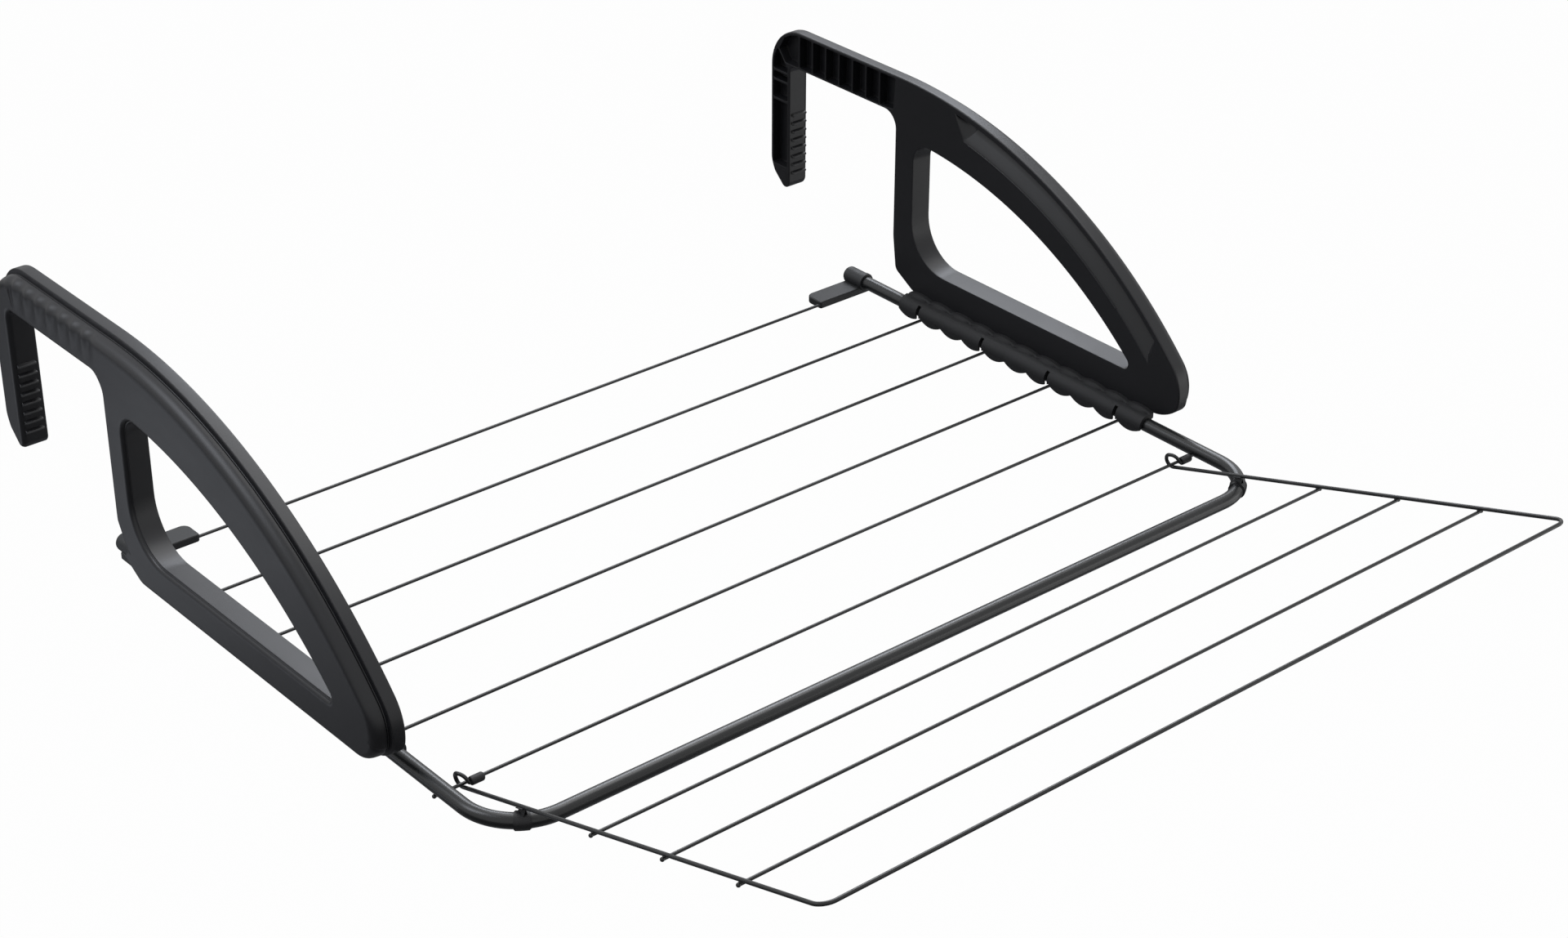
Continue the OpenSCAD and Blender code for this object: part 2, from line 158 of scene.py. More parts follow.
class Graph:
    """The node tree of a material or of the world."""

    def __init__(self, owner: Material | bpy.types.World) -> None:
        """Takes over the node tree of its owner.

        Args:
            owner: The material or the world.
        """
        owner.use_nodes = True
        self.owner = owner
        self.tree = owner.node_tree
        self.shader = self.tree.nodes.get("Principled BSDF")
        self.place = None

    @classmethod
    def of_material(cls, name: str) -> "Graph":
        """Starts a material of this name with a Principled shader."""
        return cls(bpy.data.materials.new(name))

    def node(self, kind: str, settings: dict, inputs: dict) -> bpy.types.Node:
        """Adds one node.

        Args:
            kind: The node's type.
            settings: Properties of the node, which are set first.
            inputs: Values or links of its sockets, by name or by number.

        Returns:
            The new node.
        """
        node = self.tree.nodes.new(kind)
        for key, value in settings.items():
            setattr(node, key, value)
        for key, value in inputs.items():
            self.put(node.inputs[key], value)
        return node

    def put(self, target: Socket, value: object) -> None:
        """Sets or links one input socket.

        Args:
            target: The input.
            value: A plain value, a Value or an output socket.
        """
        value = value.socket if isinstance(value, Value) else value
        if isinstance(value, Socket):
            self.tree.links.new(value, target)
        else:
            target.default_value = value

    def noise(self, scale: float, detail: float, stretch: Place = (1.0, 1.0, 1.0)) -> Value:
        """A cloud of values between about 0.3 and 0.7.

        Args:
            scale: Features per metre.
            detail: Octaves of the noise.
            stretch: Scale of the pattern along each axis.

        Returns:
            The noise as a value.
        """
        if self.place is None:
            self.place = self.node("ShaderNodeTexCoord", {}, {}).outputs["Object"]
        mapping = self.node("ShaderNodeMapping", {}, {"Vector": self.place, "Scale": stretch})
        texture = self.node(
            "ShaderNodeTexNoise", {},
            {"Vector": mapping.outputs[0], "Scale": scale, "Detail": detail, "Roughness": 0.6},
        )
        return Value(self, texture.outputs["Fac"])

    def blend(self, factor: Value, low: Colour, high: Colour) -> Socket:
        """Blends two colours by a value.

        Args:
            factor: How much of the second colour shows, from 0 to 1.
            low: The first colour.
            high: The second colour.

        Returns:
            The socket that gives the colour.
        """
        node = self.node(
            "ShaderNodeMix", {"data_type": "RGBA"},
            {0: factor, 6: (*low, 1.0), 7: (*high, 1.0)},
        )
        return node.outputs[2]

    def relief(self, height: Value, depth: float) -> None:
        """Raises and lowers the surface.

        Args:
            height: The height, from 0 to 1.
            depth: What a height of 1 is, in metres.
        """
        settings = {"Strength": 1.0, "Distance": depth, "Height": height}
        self.feed(Normal=self.node("ShaderNodeBump", {}, settings).outputs[0])

    def feed(self, **sockets: object) -> None:
        """Sets or links inputs of the shader.

        Args:
            sockets: Values or links, by the sockets' names with underscores for spaces.
        """
        for key, value in sockets.items():
            self.put(self.shader.inputs[key.replace("_", " ")], value)

    def unlit(self, straight: float, glossy: float) -> Value:
        """How much of a plain white a ray sees in place of the lit surface.

        Args:
            straight: How much the camera sees, directly and through clear things.
            glossy: How much a reflection sees.

        Returns:
            The share, from 0 to 1.
        """
        path = self.node("ShaderNodeLightPath", {}, {})
        camera, clear, gloss = (
            Value(self, path.outputs[f"Is {ray} Ray"])
            for ray in ("Camera", "Transmission", "Glossy")
        )
        return (camera + clear) * straight + gloss * glossy


def shade(colour: Colour, factor: float) -> Colour:
    """Makes a colour lighter or darker."""
    return tuple(c * factor for c in colour)


@dataclass(frozen=True)
class PowderCoat:
    """Black powder coat on steel: glossy, with the soft ripple of baked paint and rubbed spots."""

    name: str
    colour: Colour = (0.012, 0.013, 0.014)
    dark: float = 0.85
    light: float = 1.6
    gloss: float = 0.33
    unevenness: float = 0.10
    ripple: float = 420.0
    ripple_depth: float = 0.000004
    clouds: float = 26.0
    rubs: float = 70.0
    rubbed: float = 0.10

    def material(self) -> Material:
        """Builds the material.

        Returns:
            The new material.
        """
        graph = Graph.of_material(self.name)
        ripple = graph.noise(self.ripple, 2.0)
        cloud = graph.noise(self.clouds, 4.0)
        rubs = graph.noise(self.rubs, 6.0, (1.0, 0.25, 1.0)).over(0.60, 0.70)
        middle = self.gloss - self.unevenness / 2
        graph.feed(
            Base_Color=graph.blend(
                cloud.over(0.35, 0.65) * 0.6 + rubs * 0.4,
                shade(self.colour, self.dark), shade(self.colour, self.light),
            ),
            Roughness=cloud * self.unevenness + rubs * self.rubbed + middle,
            Metallic=0.0,
            Coat_Weight=0.2,
            Coat_Roughness=0.24,
        )
        graph.relief(ripple, self.ripple_depth)
        return graph.owner


@dataclass(frozen=True)
class MouldedPlastic:
    """Moulded plastic with a fine spark-eroded grain, faint flow marks and scuffs."""

    name: str
    colour: Colour = (0.0120, 0.0124, 0.0150)
    roughness: float = 0.40
    dark: float = 0.90
    light: float = 1.16
    unevenness: float = 0.12
    grain_gloss: float = 0.05
    grain: float = 1900.0
    grain_depth: float = 0.000004
    clouds: float = 14.0
    flow: float = 34.0
    scuff: float = 240.0
    patch: float = 20.0
    scuffs: float = 0.5

    def material(self) -> Material:
        """Builds the material.

        Returns:
            The new material.
        """
        graph = Graph.of_material(self.name)
        grain = graph.noise(self.grain, 2.0)
        cloud = graph.noise(self.clouds, 3.0)
        flow = graph.noise(self.flow, 4.0, (1.0, 0.35, 1.0))
        scuffs = graph.noise(self.scuff, 5.0, (1.0, 0.12, 1.0)).over(0.66, 0.74)
        patches = graph.noise(self.patch, 2.0).over(0.50, 0.60)
        marks = scuffs * patches * self.scuffs
        middle = self.roughness - (self.unevenness + self.grain_gloss) / 2
        graph.feed(
            Base_Color=graph.blend(
                cloud.over(0.3, 0.7) * 0.55 + flow.over(0.35, 0.65) * 0.25 + marks * 0.2,
                shade(self.colour, self.dark), shade(self.colour, self.light),
            ),
            Roughness=flow * self.unevenness + marks * 0.15 + grain * self.grain_gloss + middle,
            Metallic=0.0,
            Coat_Weight=0.0,
        )
        graph.relief(grain * 0.8 + flow * 0.6 - marks * 0.5, self.grain_depth)
        return graph.owner


# ---------------------------------------------------------------- drawing and placing


@dataclass(frozen=True)
class Datum:
    """Where the tube frame lies in the row frame, in metres."""

    ends_y: float
    axis_z: float

    @classmethod
    def of_frame(cls) -> "Datum":
        """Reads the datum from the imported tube."""
        low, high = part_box("main_tube")
        return cls(high.y, (low.z + high.z) / 2)

    def matrix(self) -> Matrix:
        """The move from millimetres in the tube frame to metres in the row frame."""
        move = Matrix.Translation((0.0, self.ends_y, self.axis_z))
        return move @ Matrix.Scale(METRE_PER_MM, 4)


class Part:
    """One piece in the making: its mesh in millimetres, and how it is handed over."""

    def __init__(self, datum: Datum) -> None:
        """Starts an empty piece.

        Args:
            datum: Where the tube frame lies.
        """
        self.datum = datum
        self.mesh = bmesh.new()

    def mirror(self, side: Side) -> None:
        """Turns a piece drawn for the right side into one for the given side."""
        if side is Side.LEFT:
            bmesh.ops.scale(self.mesh, vec=(-1.0, 1.0, 1.0), verts=self.mesh.verts)

    def _settle(self) -> None:
        """Puts the edges and faces in the order of their vertices, the same in each run."""
        self.mesh.verts.index_update()
        for group in (self.mesh.edges, self.mesh.faces):
            order = sorted(group, key=lambda item: sorted(v.index for v in item.verts))
            for rank, item in enumerate(order):
                item.index = rank
            group.sort()

    def finish(
        self, name: str, body: str, material: Material, node: str, sharp: float = 40.0,
    ) -> None:
        """Turns the mesh into an object in its place.

        Args:
            name: The object's name.
            body: The body that it moves with.
            material: Its finish.
            node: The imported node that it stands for.
            sharp: Edges that turn by more degrees than this stay sharp.
        """
        bmesh.ops.remove_doubles(self.mesh, verts=self.mesh.verts, dist=MERGE_GAP)
        bmesh.ops.recalc_face_normals(self.mesh, faces=self.mesh.faces)
        bmesh.ops.transform(self.mesh, matrix=self.datum.matrix(), verts=self.mesh.verts)
        self._settle()
        data = bpy.data.meshes.new(name)
        self.mesh.to_mesh(data)
        self.mesh.free()
        data.shade_smooth()
        data.set_sharp_from_angle(angle=math.radians(sharp))
        data.materials.append(material)
        piece = bpy.data.objects.new(name, data)
        bpy.context.scene.collection.objects.link(piece)
        even = piece.modifiers.new("even_shading", "WEIGHTED_NORMAL")
        even.keep_sharp = True
        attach(piece, body)
        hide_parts(node)
        LOG.info("%s: %d faces, rides on %s", name, len(data.polygons), body)


class Pen:
    """Draws a line in a plane of constant X by extruding and spinning its last vertex."""

    def __init__(self, mesh: Mesh, x: float, start: Point) -> None:
        """Puts the pen down.

        Args:
            mesh: The mesh to draw in.
            x: The plane of the line.
            start: Its first point, as (y, z).
        """
        self.mesh = mesh
        self.verts = [mesh.verts.new((x, *start))]

    @property
    def at(self) -> Point:
        """Where the pen is, as (y, z)."""
        return self.verts[-1].co.y, self.verts[-1].co.z

    def to(self, y: float, z: float, steps: int = 1) -> "Pen":
        """Draws a straight line.

        Args:
            y: Where it ends.
            z: Where it ends.
            steps: Its equal steps.

        Returns:
            The pen.
        """
        move = (Vector((0.0, y, z)) - Vector((0.0, *self.at))) / steps
        for _ in range(steps):
            made = bmesh.ops.extrude_vert_indiv(self.mesh, verts=[self.verts[-1]])["verts"]
            bmesh.ops.translate(self.mesh, vec=move, verts=made)
            self.verts += made
        return self

    def arc(self, centre: Point, degrees: float, steps: int) -> "Pen":
        """Draws an arc.

        Args:
            centre: Its centre, as (y, z).
            degrees: How far it turns; a positive angle turns from +Y to +Z.
            steps: Its equal steps.

        Returns:
            The pen.
        """
        x = self.verts[-1].co.x
        for _ in range(steps):
            made = bmesh.ops.spin(
                self.mesh, geom=[self.verts[-1]], cent=(x, *centre), axis=ALONG_X,
                dvec=(0.0, 0.0, 0.0), angle=math.radians(degrees / steps), steps=1,
                use_merge=False, use_duplicate=False,
            )["geom_last"]
            self.verts += [v for v in made if isinstance(v, Vert)]
        return self

    def round(self, corner: Point, towards: Point, radius: float, steps: int) -> "Pen":
        """Draws up to a corner and round it with a fillet.

        Args:
            corner: The sharp corner, as (y, z).
            towards: A point on the line that follows it.
            radius: The radius of the fillet.
            steps: Steps of the arc.

        Returns:
            The pen.
        """
        here, apex = Vector(self.at), Vector(corner)
        before = (apex - here).normalized()
        after = (Vector(towards) - apex).normalized()
        turn = math.atan2(before.cross(after), before.dot(after))
        start = apex - before * radius * math.tan(abs(turn) / 2)
        side = math.copysign(1.0, turn)
        centre = start + Vector((-before.y, before.x)) * radius * side
        return self.to(*start).arc(tuple(centre), math.degrees(turn), steps)

    def corners(self, rows: Sequence[tuple[Point, float, int]], towards: Point) -> "Pen":
        """Draws round a row of corners.

        Args:
            rows: Each corner, the radius of its fillet and the steps of its arc.
            towards: A point on the line that follows the last one.

        Returns:
            The pen.
        """
        for (corner, radius, steps), after in zip(rows, [row[0] for row in rows[1:]] + [towards]):
            self.round(corner, after, radius, steps)
        return self

    def close(self) -> list[Vert]:
        """Joins the last point to the first.

        Returns:
            The vertices in order, each once.
        """
        first, last = self.verts[0], self.verts[-1]
        if (first.co - last.co).length < JOIN_GAP:
            bmesh.ops.weld_verts(self.mesh, targetmap={last: first})
            self.verts.pop()
        else:
            bmesh.ops.contextual_create(self.mesh, geom=[last, first])
        return self.verts


def on_arc(centre: Point, radius: float, degrees: float) -> Point:
    """A point on an arc, with 0 degrees at its top and 90 degrees on its negative side."""
    a = math.radians(degrees)
    return centre[0] - radius * math.sin(a), centre[1] + radius * math.cos(a)


def evenly(first: float, last: float, steps: int) -> list[float]:
    """Evenly spaced numbers from the first to the last."""
    return [first + (last - first) * k / steps for k in range(steps + 1)]


def nowhere(y: float, z: float) -> float:
    """Gives 0 at every point (y, z) of a line."""
    return 0.0


class Ring:
    """A closed line in a plane of constant X."""

    def __init__(self, mesh: Mesh, verts: list[Vert]) -> None:
        """Takes over a closed line.

        Args:
            mesh: The mesh that holds the line.
            verts: Its vertices in order.
        """
        self.mesh = mesh
        self.verts = verts

    @property
    def edges(self) -> list[Edge]:
        """The edges of the line."""
        ring = set(self.verts)
        return [
            e for v in self.verts for e in v.link_edges
            if e.verts[0] is v and e.other_vert(v) in ring
        ]

    def fill(self, *others: "Ring") -> None:
        """Closes the line with faces, which leave out the lines of other rings inside it."""
        rims = [e for ring in (self, *others) for e in ring.edges]
        bmesh.ops.triangle_fill(self.mesh, use_beauty=True, use_dissolve=False, edges=rims)


class Wall(Ring):
    """A closed line that is extruded along X in steps, each set into the material."""

    least_mitre = 0.6

    def __init__(
        self, mesh: Mesh, verts: list[Vert], hole: bool,
        share: Callable[[float, float], float] = nowhere,
        reach: Callable[[float, float], float] = nowhere,
    ) -> None:
        """Takes over a closed line.

        Args:
            mesh: The mesh that holds the line.
            verts: Its vertices in order.
            hole: True if the material is outside the line.
            share: How much of the second inset a point (y, z) gets, from 0 to 1.
            reach: How much of the further inset it gets.
        """
        super().__init__(mesh, verts)
        self.base = [Vector((v.co.y, v.co.z)) for v in verts]
        count = len(verts)
        area = sum(self.base[i].cross(self.base[(i + 1) % count]) for i in range(count))
        sign = math.copysign(1.0, area) * (-1.0 if hole else 1.0)
        self.inward = [self._inward(i, sign) for i in range(count)]
        self.share = [share(*p) for p in self.base]
        self.reach = [reach(*p) for p in self.base]

    def _inward(self, i: int, sign: float) -> Vector:
        """The direction into the material at a vertex, longer where the line turns.

        Args:
            i: The vertex's number.
            sign: 1 if the material is to the left of the line, or -1.

        Returns:
            The direction, as (y, z).
        """
        before = (self.base[i] - self.base[i - 1]).normalized()
        after = (self.base[(i + 1) % len(self.base)] - self.base[i]).normalized()
        normals = [Vector((-d.y, d.x)) * sign for d in (before, after)]
        middle = (normals[0] + normals[1]).normalized()
        return middle / max(self.least_mitre, middle.dot(normals[0]))

    def rim(self) -> Ring:
        """The line as it is now, kept while the wall goes on."""
        return Ring(self.mesh, list(self.verts))

    def set_in(
        self, x: float, inset: float, second: float = 0.0, further: float = 0.0,
        dent: Callable[[float, float], float] = nowhere,
    ) -> None:
        """Moves the line to a plane and sets it in from its base line.

        Args:
            x: The plane.
            inset: How far into the material, where the share is 0.
            second: How far where the share is 1.
            further: How much further where the reach is 1.
            dent: How far a base point (y, z) is pushed back along X.
        """
        for vert, base, inward, share, reach in zip(
            self.verts, self.base, self.inward, self.share, self.reach
        ):
            place = base + inward * (inset + (second - inset) * share + further * reach)
            vert.co = (x - dent(*base) * share, *place)

    def step(
        self, x: float, inset: float, second: float = 0.0, further: float = 0.0, **dent: Callable
    ) -> None:
        """Extrudes the line to a new plane and inset.

        Args:
            x: The plane.
            inset: How far into the material, where the share is 0.
            second: How far where the share is 1.
            further: How much further where the reach is 1.
            dent: The dent that set_in takes, if there is one.
        """
        grown = bmesh.ops.extrude_edge_only(self.mesh, edges=self.edges)["geom"]
        new = {v for v in grown if isinstance(v, Vert)}
        self.verts = [
            next(e.other_vert(v) for e in v.link_edges if e.other_vert(v) in new)
            for v in self.verts
        ]
        self.set_in(x, inset, second, further, **dent)

    def steps(self, x: float, rows: Sequence[Point]) -> None:
        """Extrudes a line that has no share or reach through several planes.

        Args:
            x: The plane that the heights are counted from.
            rows: The height and the inset of each plane.
        """
        for up, inset in rows:
            self.step(x + up, inset)


class Rod:
    """A round bar that grows from a circle by extruding and spinning its free end."""

    def __init__(
        self, mesh: Mesh, radius: float, at: Vector, along: Vector, segments: int = 20,
        rim: list[Edge] | None = None,
    ) -> None:
        """Starts from a new circle, or from an open end that is already there.

        Args:
            mesh: The mesh to grow in.
            radius: The bar's radius.
            at: The centre of its start.
            along: The direction that it starts in.
            segments: Corners of the new circle.
            rim: The edges of the open end, if there is one.
        """
        self.mesh = mesh
        self.radius = radius
        self.centre = Vector(at)
        self.along = Vector(along).normalized()
        self.start = list(rim or self._circle(segments))
        self.end = list(self.start)

    def _circle(self, segments: int) -> list[Edge]:
        """Draws a circle across the rod and gives its edges."""
        turn = ALONG_Z.rotation_difference(self.along).to_matrix().to_4x4()
        made = bmesh.ops.create_circle(
            self.mesh, cap_ends=False, segments=segments, radius=self.radius,
            matrix=Matrix.Translation(self.centre) @ turn,
        )["verts"]
        return list(dict.fromkeys(e for v in made for e in v.link_edges))

    def straight(self, length: float, radius: float | None = None) -> None:
        """Grows straight on.

        Args:
            length: How far it grows.
            radius: Its radius at the new end, if it widens or narrows on the way.
        """
        scale = 1.0 if radius is None else radius / self.radius
        self.radius *= scale
        made = bmesh.ops.extrude_edge_only(self.mesh, edges=self.end)["geom"]
        verts = [v for v in made if isinstance(v, Vert)]
        bmesh.ops.translate(self.mesh, vec=self.along * length, verts=verts)
        self.centre = self.centre + self.along * length
        bmesh.ops.scale(
            self.mesh, vec=(scale,) * 3, space=Matrix.Translation(-self.centre), verts=verts
        )
        self.end = [e for e in made if isinstance(e, Edge) and all(v in verts for v in e.verts)]

    def profile(self, rows: Sequence[Point]) -> None:
        """Grows straight through the length of each step and the radius at its end."""
        for length, radius in rows:
            self.straight(length, radius)

    def bend(
        self, centre: Vector, axis: Vector, degrees: float, steps: int, drift: Vector = Vector()
    ) -> None:
        """Grows round a centre.

        Args:
            centre: The centre of the bend.
            axis: Its axis.
            degrees: How far it turns.
            steps: Steps of the bend.
            drift: How far the end moves along the axis on the way, as a vector.
        """
        made = bmesh.ops.spin(
            self.mesh, geom=self.end, cent=centre, axis=axis, dvec=drift / steps,
            angle=math.radians(degrees), steps=steps, use_merge=False, use_duplicate=False,
        )["geom_last"]
        self.end = [e for e in made if isinstance(e, Edge)]
        turn = Matrix.Rotation(math.radians(degrees), 3, axis)
        self.along = turn @ self.along
        self.centre = centre + turn @ (self.centre - centre) + drift

    def cap(self, rim: list[Edge] | None = None) -> None:
        """Closes an end, the free one if none is given."""
        bmesh.ops.contextual_create(self.mesh, geom=rim or self.end)

    def dome(self, height: float, steps: int = 4) -> None:
        """Rounds the free end off and closes it.

        Args:
            height: How far the dome stands out.
            steps: Steps of its curve, the last of which is flat.
        """
        full = self.radius
        for k in range(1, steps):
            before, now = (math.pi / 2 * j / steps for j in (k - 1, k))
            self.straight(height * (math.sin(now) - math.sin(before)), full * math.cos(now))
        self.cap()


def add_bead(mesh: Mesh, at: Vector, size: Place, segments: int = 16) -> None:
    """Adds a closed rounded bead.

    Args:
        mesh: The mesh to draw in.
        at: Its middle.
        size: Its three half axes.
        segments: Its faces round Z.
    """
    made = bmesh.ops.create_uvsphere(mesh, u_segments=segments, v_segments=10, radius=1.0)["verts"]
    bmesh.ops.scale(mesh, vec=size, verts=made)
    bmesh.ops.translate(mesh, vec=at, verts=made)


def add_cross_wire(mesh: Mesh, radius: float, reach: float, y: float, z: float, nub: float) -> None:
    """Adds a straight wire along X, with the bead that the coating leaves on each cut end.

    Args:
        mesh: The mesh to draw in.
        radius: The wire's radius.
        reach: How far it runs to each side.
        y: Where its axis lies.
        z: Where its axis lies.
        nub: How far the middle of a bead lies from the end.
    """
    tip, nub_r = 0.7, 1.4
    start = Vector((tip - reach, y, z))
    rod = Rod(mesh, radius, start, ALONG_X)
    Rod(mesh, radius, start, -ALONG_X, rim=rod.start).dome(tip, 3)
    rod.straight(2 * (reach - tip))
    rod.dome(tip, 3)
    for side in Side:
        add_bead(mesh, Vector((side.value * (reach - nub), y, z)), (nub_r,) * 3, 14)


def add_sleeve(
    mesh: Mesh, bore: float, depth: float, at: Vector, along: Vector, rows: Sequence[Point],
    dome: tuple[float, int], segments: int,
) -> None:
    """Adds a hollow end cap: a skin with a domed end, and a blind bore.

    Args:
        mesh: The mesh to draw in.
        bore: The radius of the bore.
        depth: Its depth.
        at: The middle of its mouth.
        along: The direction of its axis.
        rows: The profile of the skin, as lengths and radii.
        dome: The height and the steps of the dome.
        segments: Faces round the cap.
    """
    skin = Rod(mesh, bore, at, along, segments)
    skin.profile(rows)
    skin.dome(*dome)
    hole = Rod(mesh, bore, at, along, segments)
    hole.straight(depth)
    hole.cap()


def extrude_face(mesh: Mesh, line: list[Vert], move: Place) -> list[Vert]:
    """Fills a closed line and extrudes its face.

    Args:
        mesh: The mesh that holds the line.
        line: Its vertices in order.
        move: How far the new face moves.

    Returns:
        The vertices of the new face.
    """
    face = bmesh.ops.contextual_create(mesh, geom=line)["faces"]
    grown = bmesh.ops.extrude_face_region(mesh, geom=face)["geom"]
    verts = [v for v in grown if isinstance(v, Vert)]
    bmesh.ops.translate(mesh, vec=move, verts=verts)
    return verts


# ---------------------------------------------------------------- the rack


@dataclass
class Rack:
    """The bent tube and its six cross wires."""

    datum: Datum
    coat: Material
    wire_coat: Material
    half: float = 320.0
    length: float = 426.0
    tube_r: float = 5.0
    bore_r: float = 4.0
    bore: float = 12.0
    bend_r: float = 40.0
    wire_r: float = 1.1
    wire_reach: float = 4.0
    wall_wire: float = 12.0
    pivot_in: float = 66.0
    nub: float = 1.2
    weld: Place = (1.9, 1.3, 0.75)

    @property
    def wire_z(self) -> float:
        """The height of the axes of the wires."""
        return -self.tube_r - self.wire_r - TOUCH_GAP

    @property
    def wire_y(self) -> list[float]:
        """The places of the six wires, from the wall side."""
        pitch = (self.length - self.wall_wire - self.pivot_in) / 5
        return [-self.wall_wire - i * pitch for i in range(6)]

    def build_tube(self) -> None:
        """Bends the tube out of one straight bar."""
        part = Part(self.datum)
        straight = self.length - self.bend_r
        front = self.half - self.bend_r
        start = Vector((-self.half, 0, 0))
        rod = Rod(part.mesh, self.tube_r, start, -ALONG_Y, 40)
        rod.straight(straight)
        rod.bend(Vector((-front, -straight, 0)), ALONG_Z, 90, 24)
        rod.straight(2 * front)
        rod.bend(Vector((front, -straight, 0)), ALONG_Z, 90, 24)
        rod.straight(straight)
        for end, centre in ((rod.end, rod.centre), (rod.start, start)):
            bore = Rod(part.mesh, self.tube_r, centre, -ALONG_Y, rim=end)
            bore.profile(((0.0, self.bore_r), (self.bore, self.bore_r)))
            bore.cap()
        part.finish("tube", "rack", self.coat, "main_tube")

    def build_wires(self) -> None:
        """Lays the cross wires under the tube, with a small weld at each crossing."""
        names = ["wall_wire", *(f"rack_wire_{i}" for i in range(2, 6)), "pivot_wire"]
        for name, y in zip(names, self.wire_y):
            part = Part(self.datum)
            reach = self.half + self.wire_reach
            add_cross_wire(part.mesh, self.wire_r, reach, y, self.wire_z, self.nub)
            for side in Side:
                at = Vector((side.value * self.half, y, self.wire_z + self.wire_r))
                add_bead(part.mesh, at, self.weld)
            part.finish(f"{name}_coated", "rack", self.wire_coat, name)


@dataclass
class Foot:
    """A moulded foot: a sleeve with a domed end on the tube, and a flat tongue on the wall wire."""

    rack: Rack
    side: Side
    plastic: Material
    sleeve_r: float = 7.0
    sleeve: float = 15.0
    end: float = 8.0
    lip: float = 0.8
    collar: float = 2.6
    collar_step: float = 0.35
    crown: float = 4.2
    tongue_len: float = 46.0
    tongue_w: float = 18.0
    tongue_t: float = 6.0
    tongue_r: float = 6.0
    tongue_over: float = 2.0
    tongue_in: float = 0.6
    tongue_cut: float = 5.0
    heel_r: float = 2.0
    edge_r: float = 1.2

    def build(self) -> None:
        """Builds the sleeve and the tongue and joins them in one piece."""
        part = Part(self.rack.datum)
        self._sleeve(part.mesh)
        self._tongue(part.mesh)
        part.mirror(self.side)
        part.finish(
            f"{self.side.label}_foot_moulding", "rack", self.plastic,
            f"{self.side.label}_foot",
        )

    def _sleeve(self, mesh: Mesh) -> None:
        """Adds a sleeve with a thick lip and a collar, closed by a dome.

        Args:
            mesh: The mesh to draw in.
        """
        outer, lip, step = self.sleeve_r, self.lip, self.collar_step
        rest = self.sleeve + self.end - lip - self.collar - step - self.crown
        rows = (
            (0.0, outer - lip), (lip * 0.3, outer - lip * 0.3), (lip * 0.7, outer),
            (self.collar, outer), (step, outer - step), (rest, outer - step),
        )
        start = Vector((self.rack.half, -self.sleeve, 0))
        bore = self.rack.tube_r + TOUCH_GAP
        add_sleeve(mesh, bore, self.sleeve, start, ALONG_Y, rows, (self.crown, 6), 40)

    def _tongue(self, mesh: Mesh) -> None:
        """Adds a flat tongue with rounded edges, as long as the wire needs to be held.

        Args:
            mesh: The mesh to draw in.
        """
        top = self.rack.wire_z + self.tongue_t / 2
        low = self.rack.wire_z - self.tongue_t / 2
        back = -self.rack.wall_wire - self.tongue_over
        front = back + self.tongue_w
        out = self.rack.half + self.sleeve_r - self.tongue_in
        tip = self.rack.half - self.tongue_len
        line = [mesh.verts.new((out, back, low))]
        for x, y in (
            (tip, back), (tip, front), (self.rack.half, front), (out, front - self.tongue_cut),
        ):
            made = bmesh.ops.extrude_vert_indiv(mesh, verts=[line[-1]])["verts"]
            made[0].co = (x, y, low)
            line += made
        bmesh.ops.contextual_create(mesh, geom=[line[-1], line[0]])
        extrude_face(mesh, line, (0, 0, top - low))
        near, level = 1.0, 1e-4
        upright = [
            e for v in line for e in v.link_edges
            if abs(e.verts[0].co.z - e.verts[1].co.z) > near
            and min(v.co.x for v in e.verts) < tip + near
        ]
        nose = [e for e in upright if max(v.co.y for v in e.verts) > front - near]
        self._bevel(mesh, nose, self.tongue_r, 8)
        self._bevel(mesh, [e for e in upright if e.is_valid], self.heel_r, 4)
        rims = [
            e for e in mesh.edges
            if all(min(abs(v.co.z - top), abs(v.co.z - low)) < level for v in e.verts)
            and abs(e.verts[0].co.z - e.verts[1].co.z) < level and len(e.link_faces) == 2
            and abs(e.link_faces[0].normal.dot(e.link_faces[1].normal)) < 0.5
        ]
        self._bevel(mesh, rims, self.edge_r, 4)

    @staticmethod
    def _bevel(mesh: Mesh, edges: list[Edge], radius: float, segments: int) -> None:
        """Rounds edges.

        Args:
            mesh: The mesh.
            edges: The edges to round.
            radius: The radius that they get.
            segments: Steps of the rounding.
        """
        bmesh.ops.bevel(
            mesh, geom=edges, offset=radius, offset_type="OFFSET", segments=segments,
            profile=0.5, affect="EDGES", material=-1, clamp_overlap=True,
        )


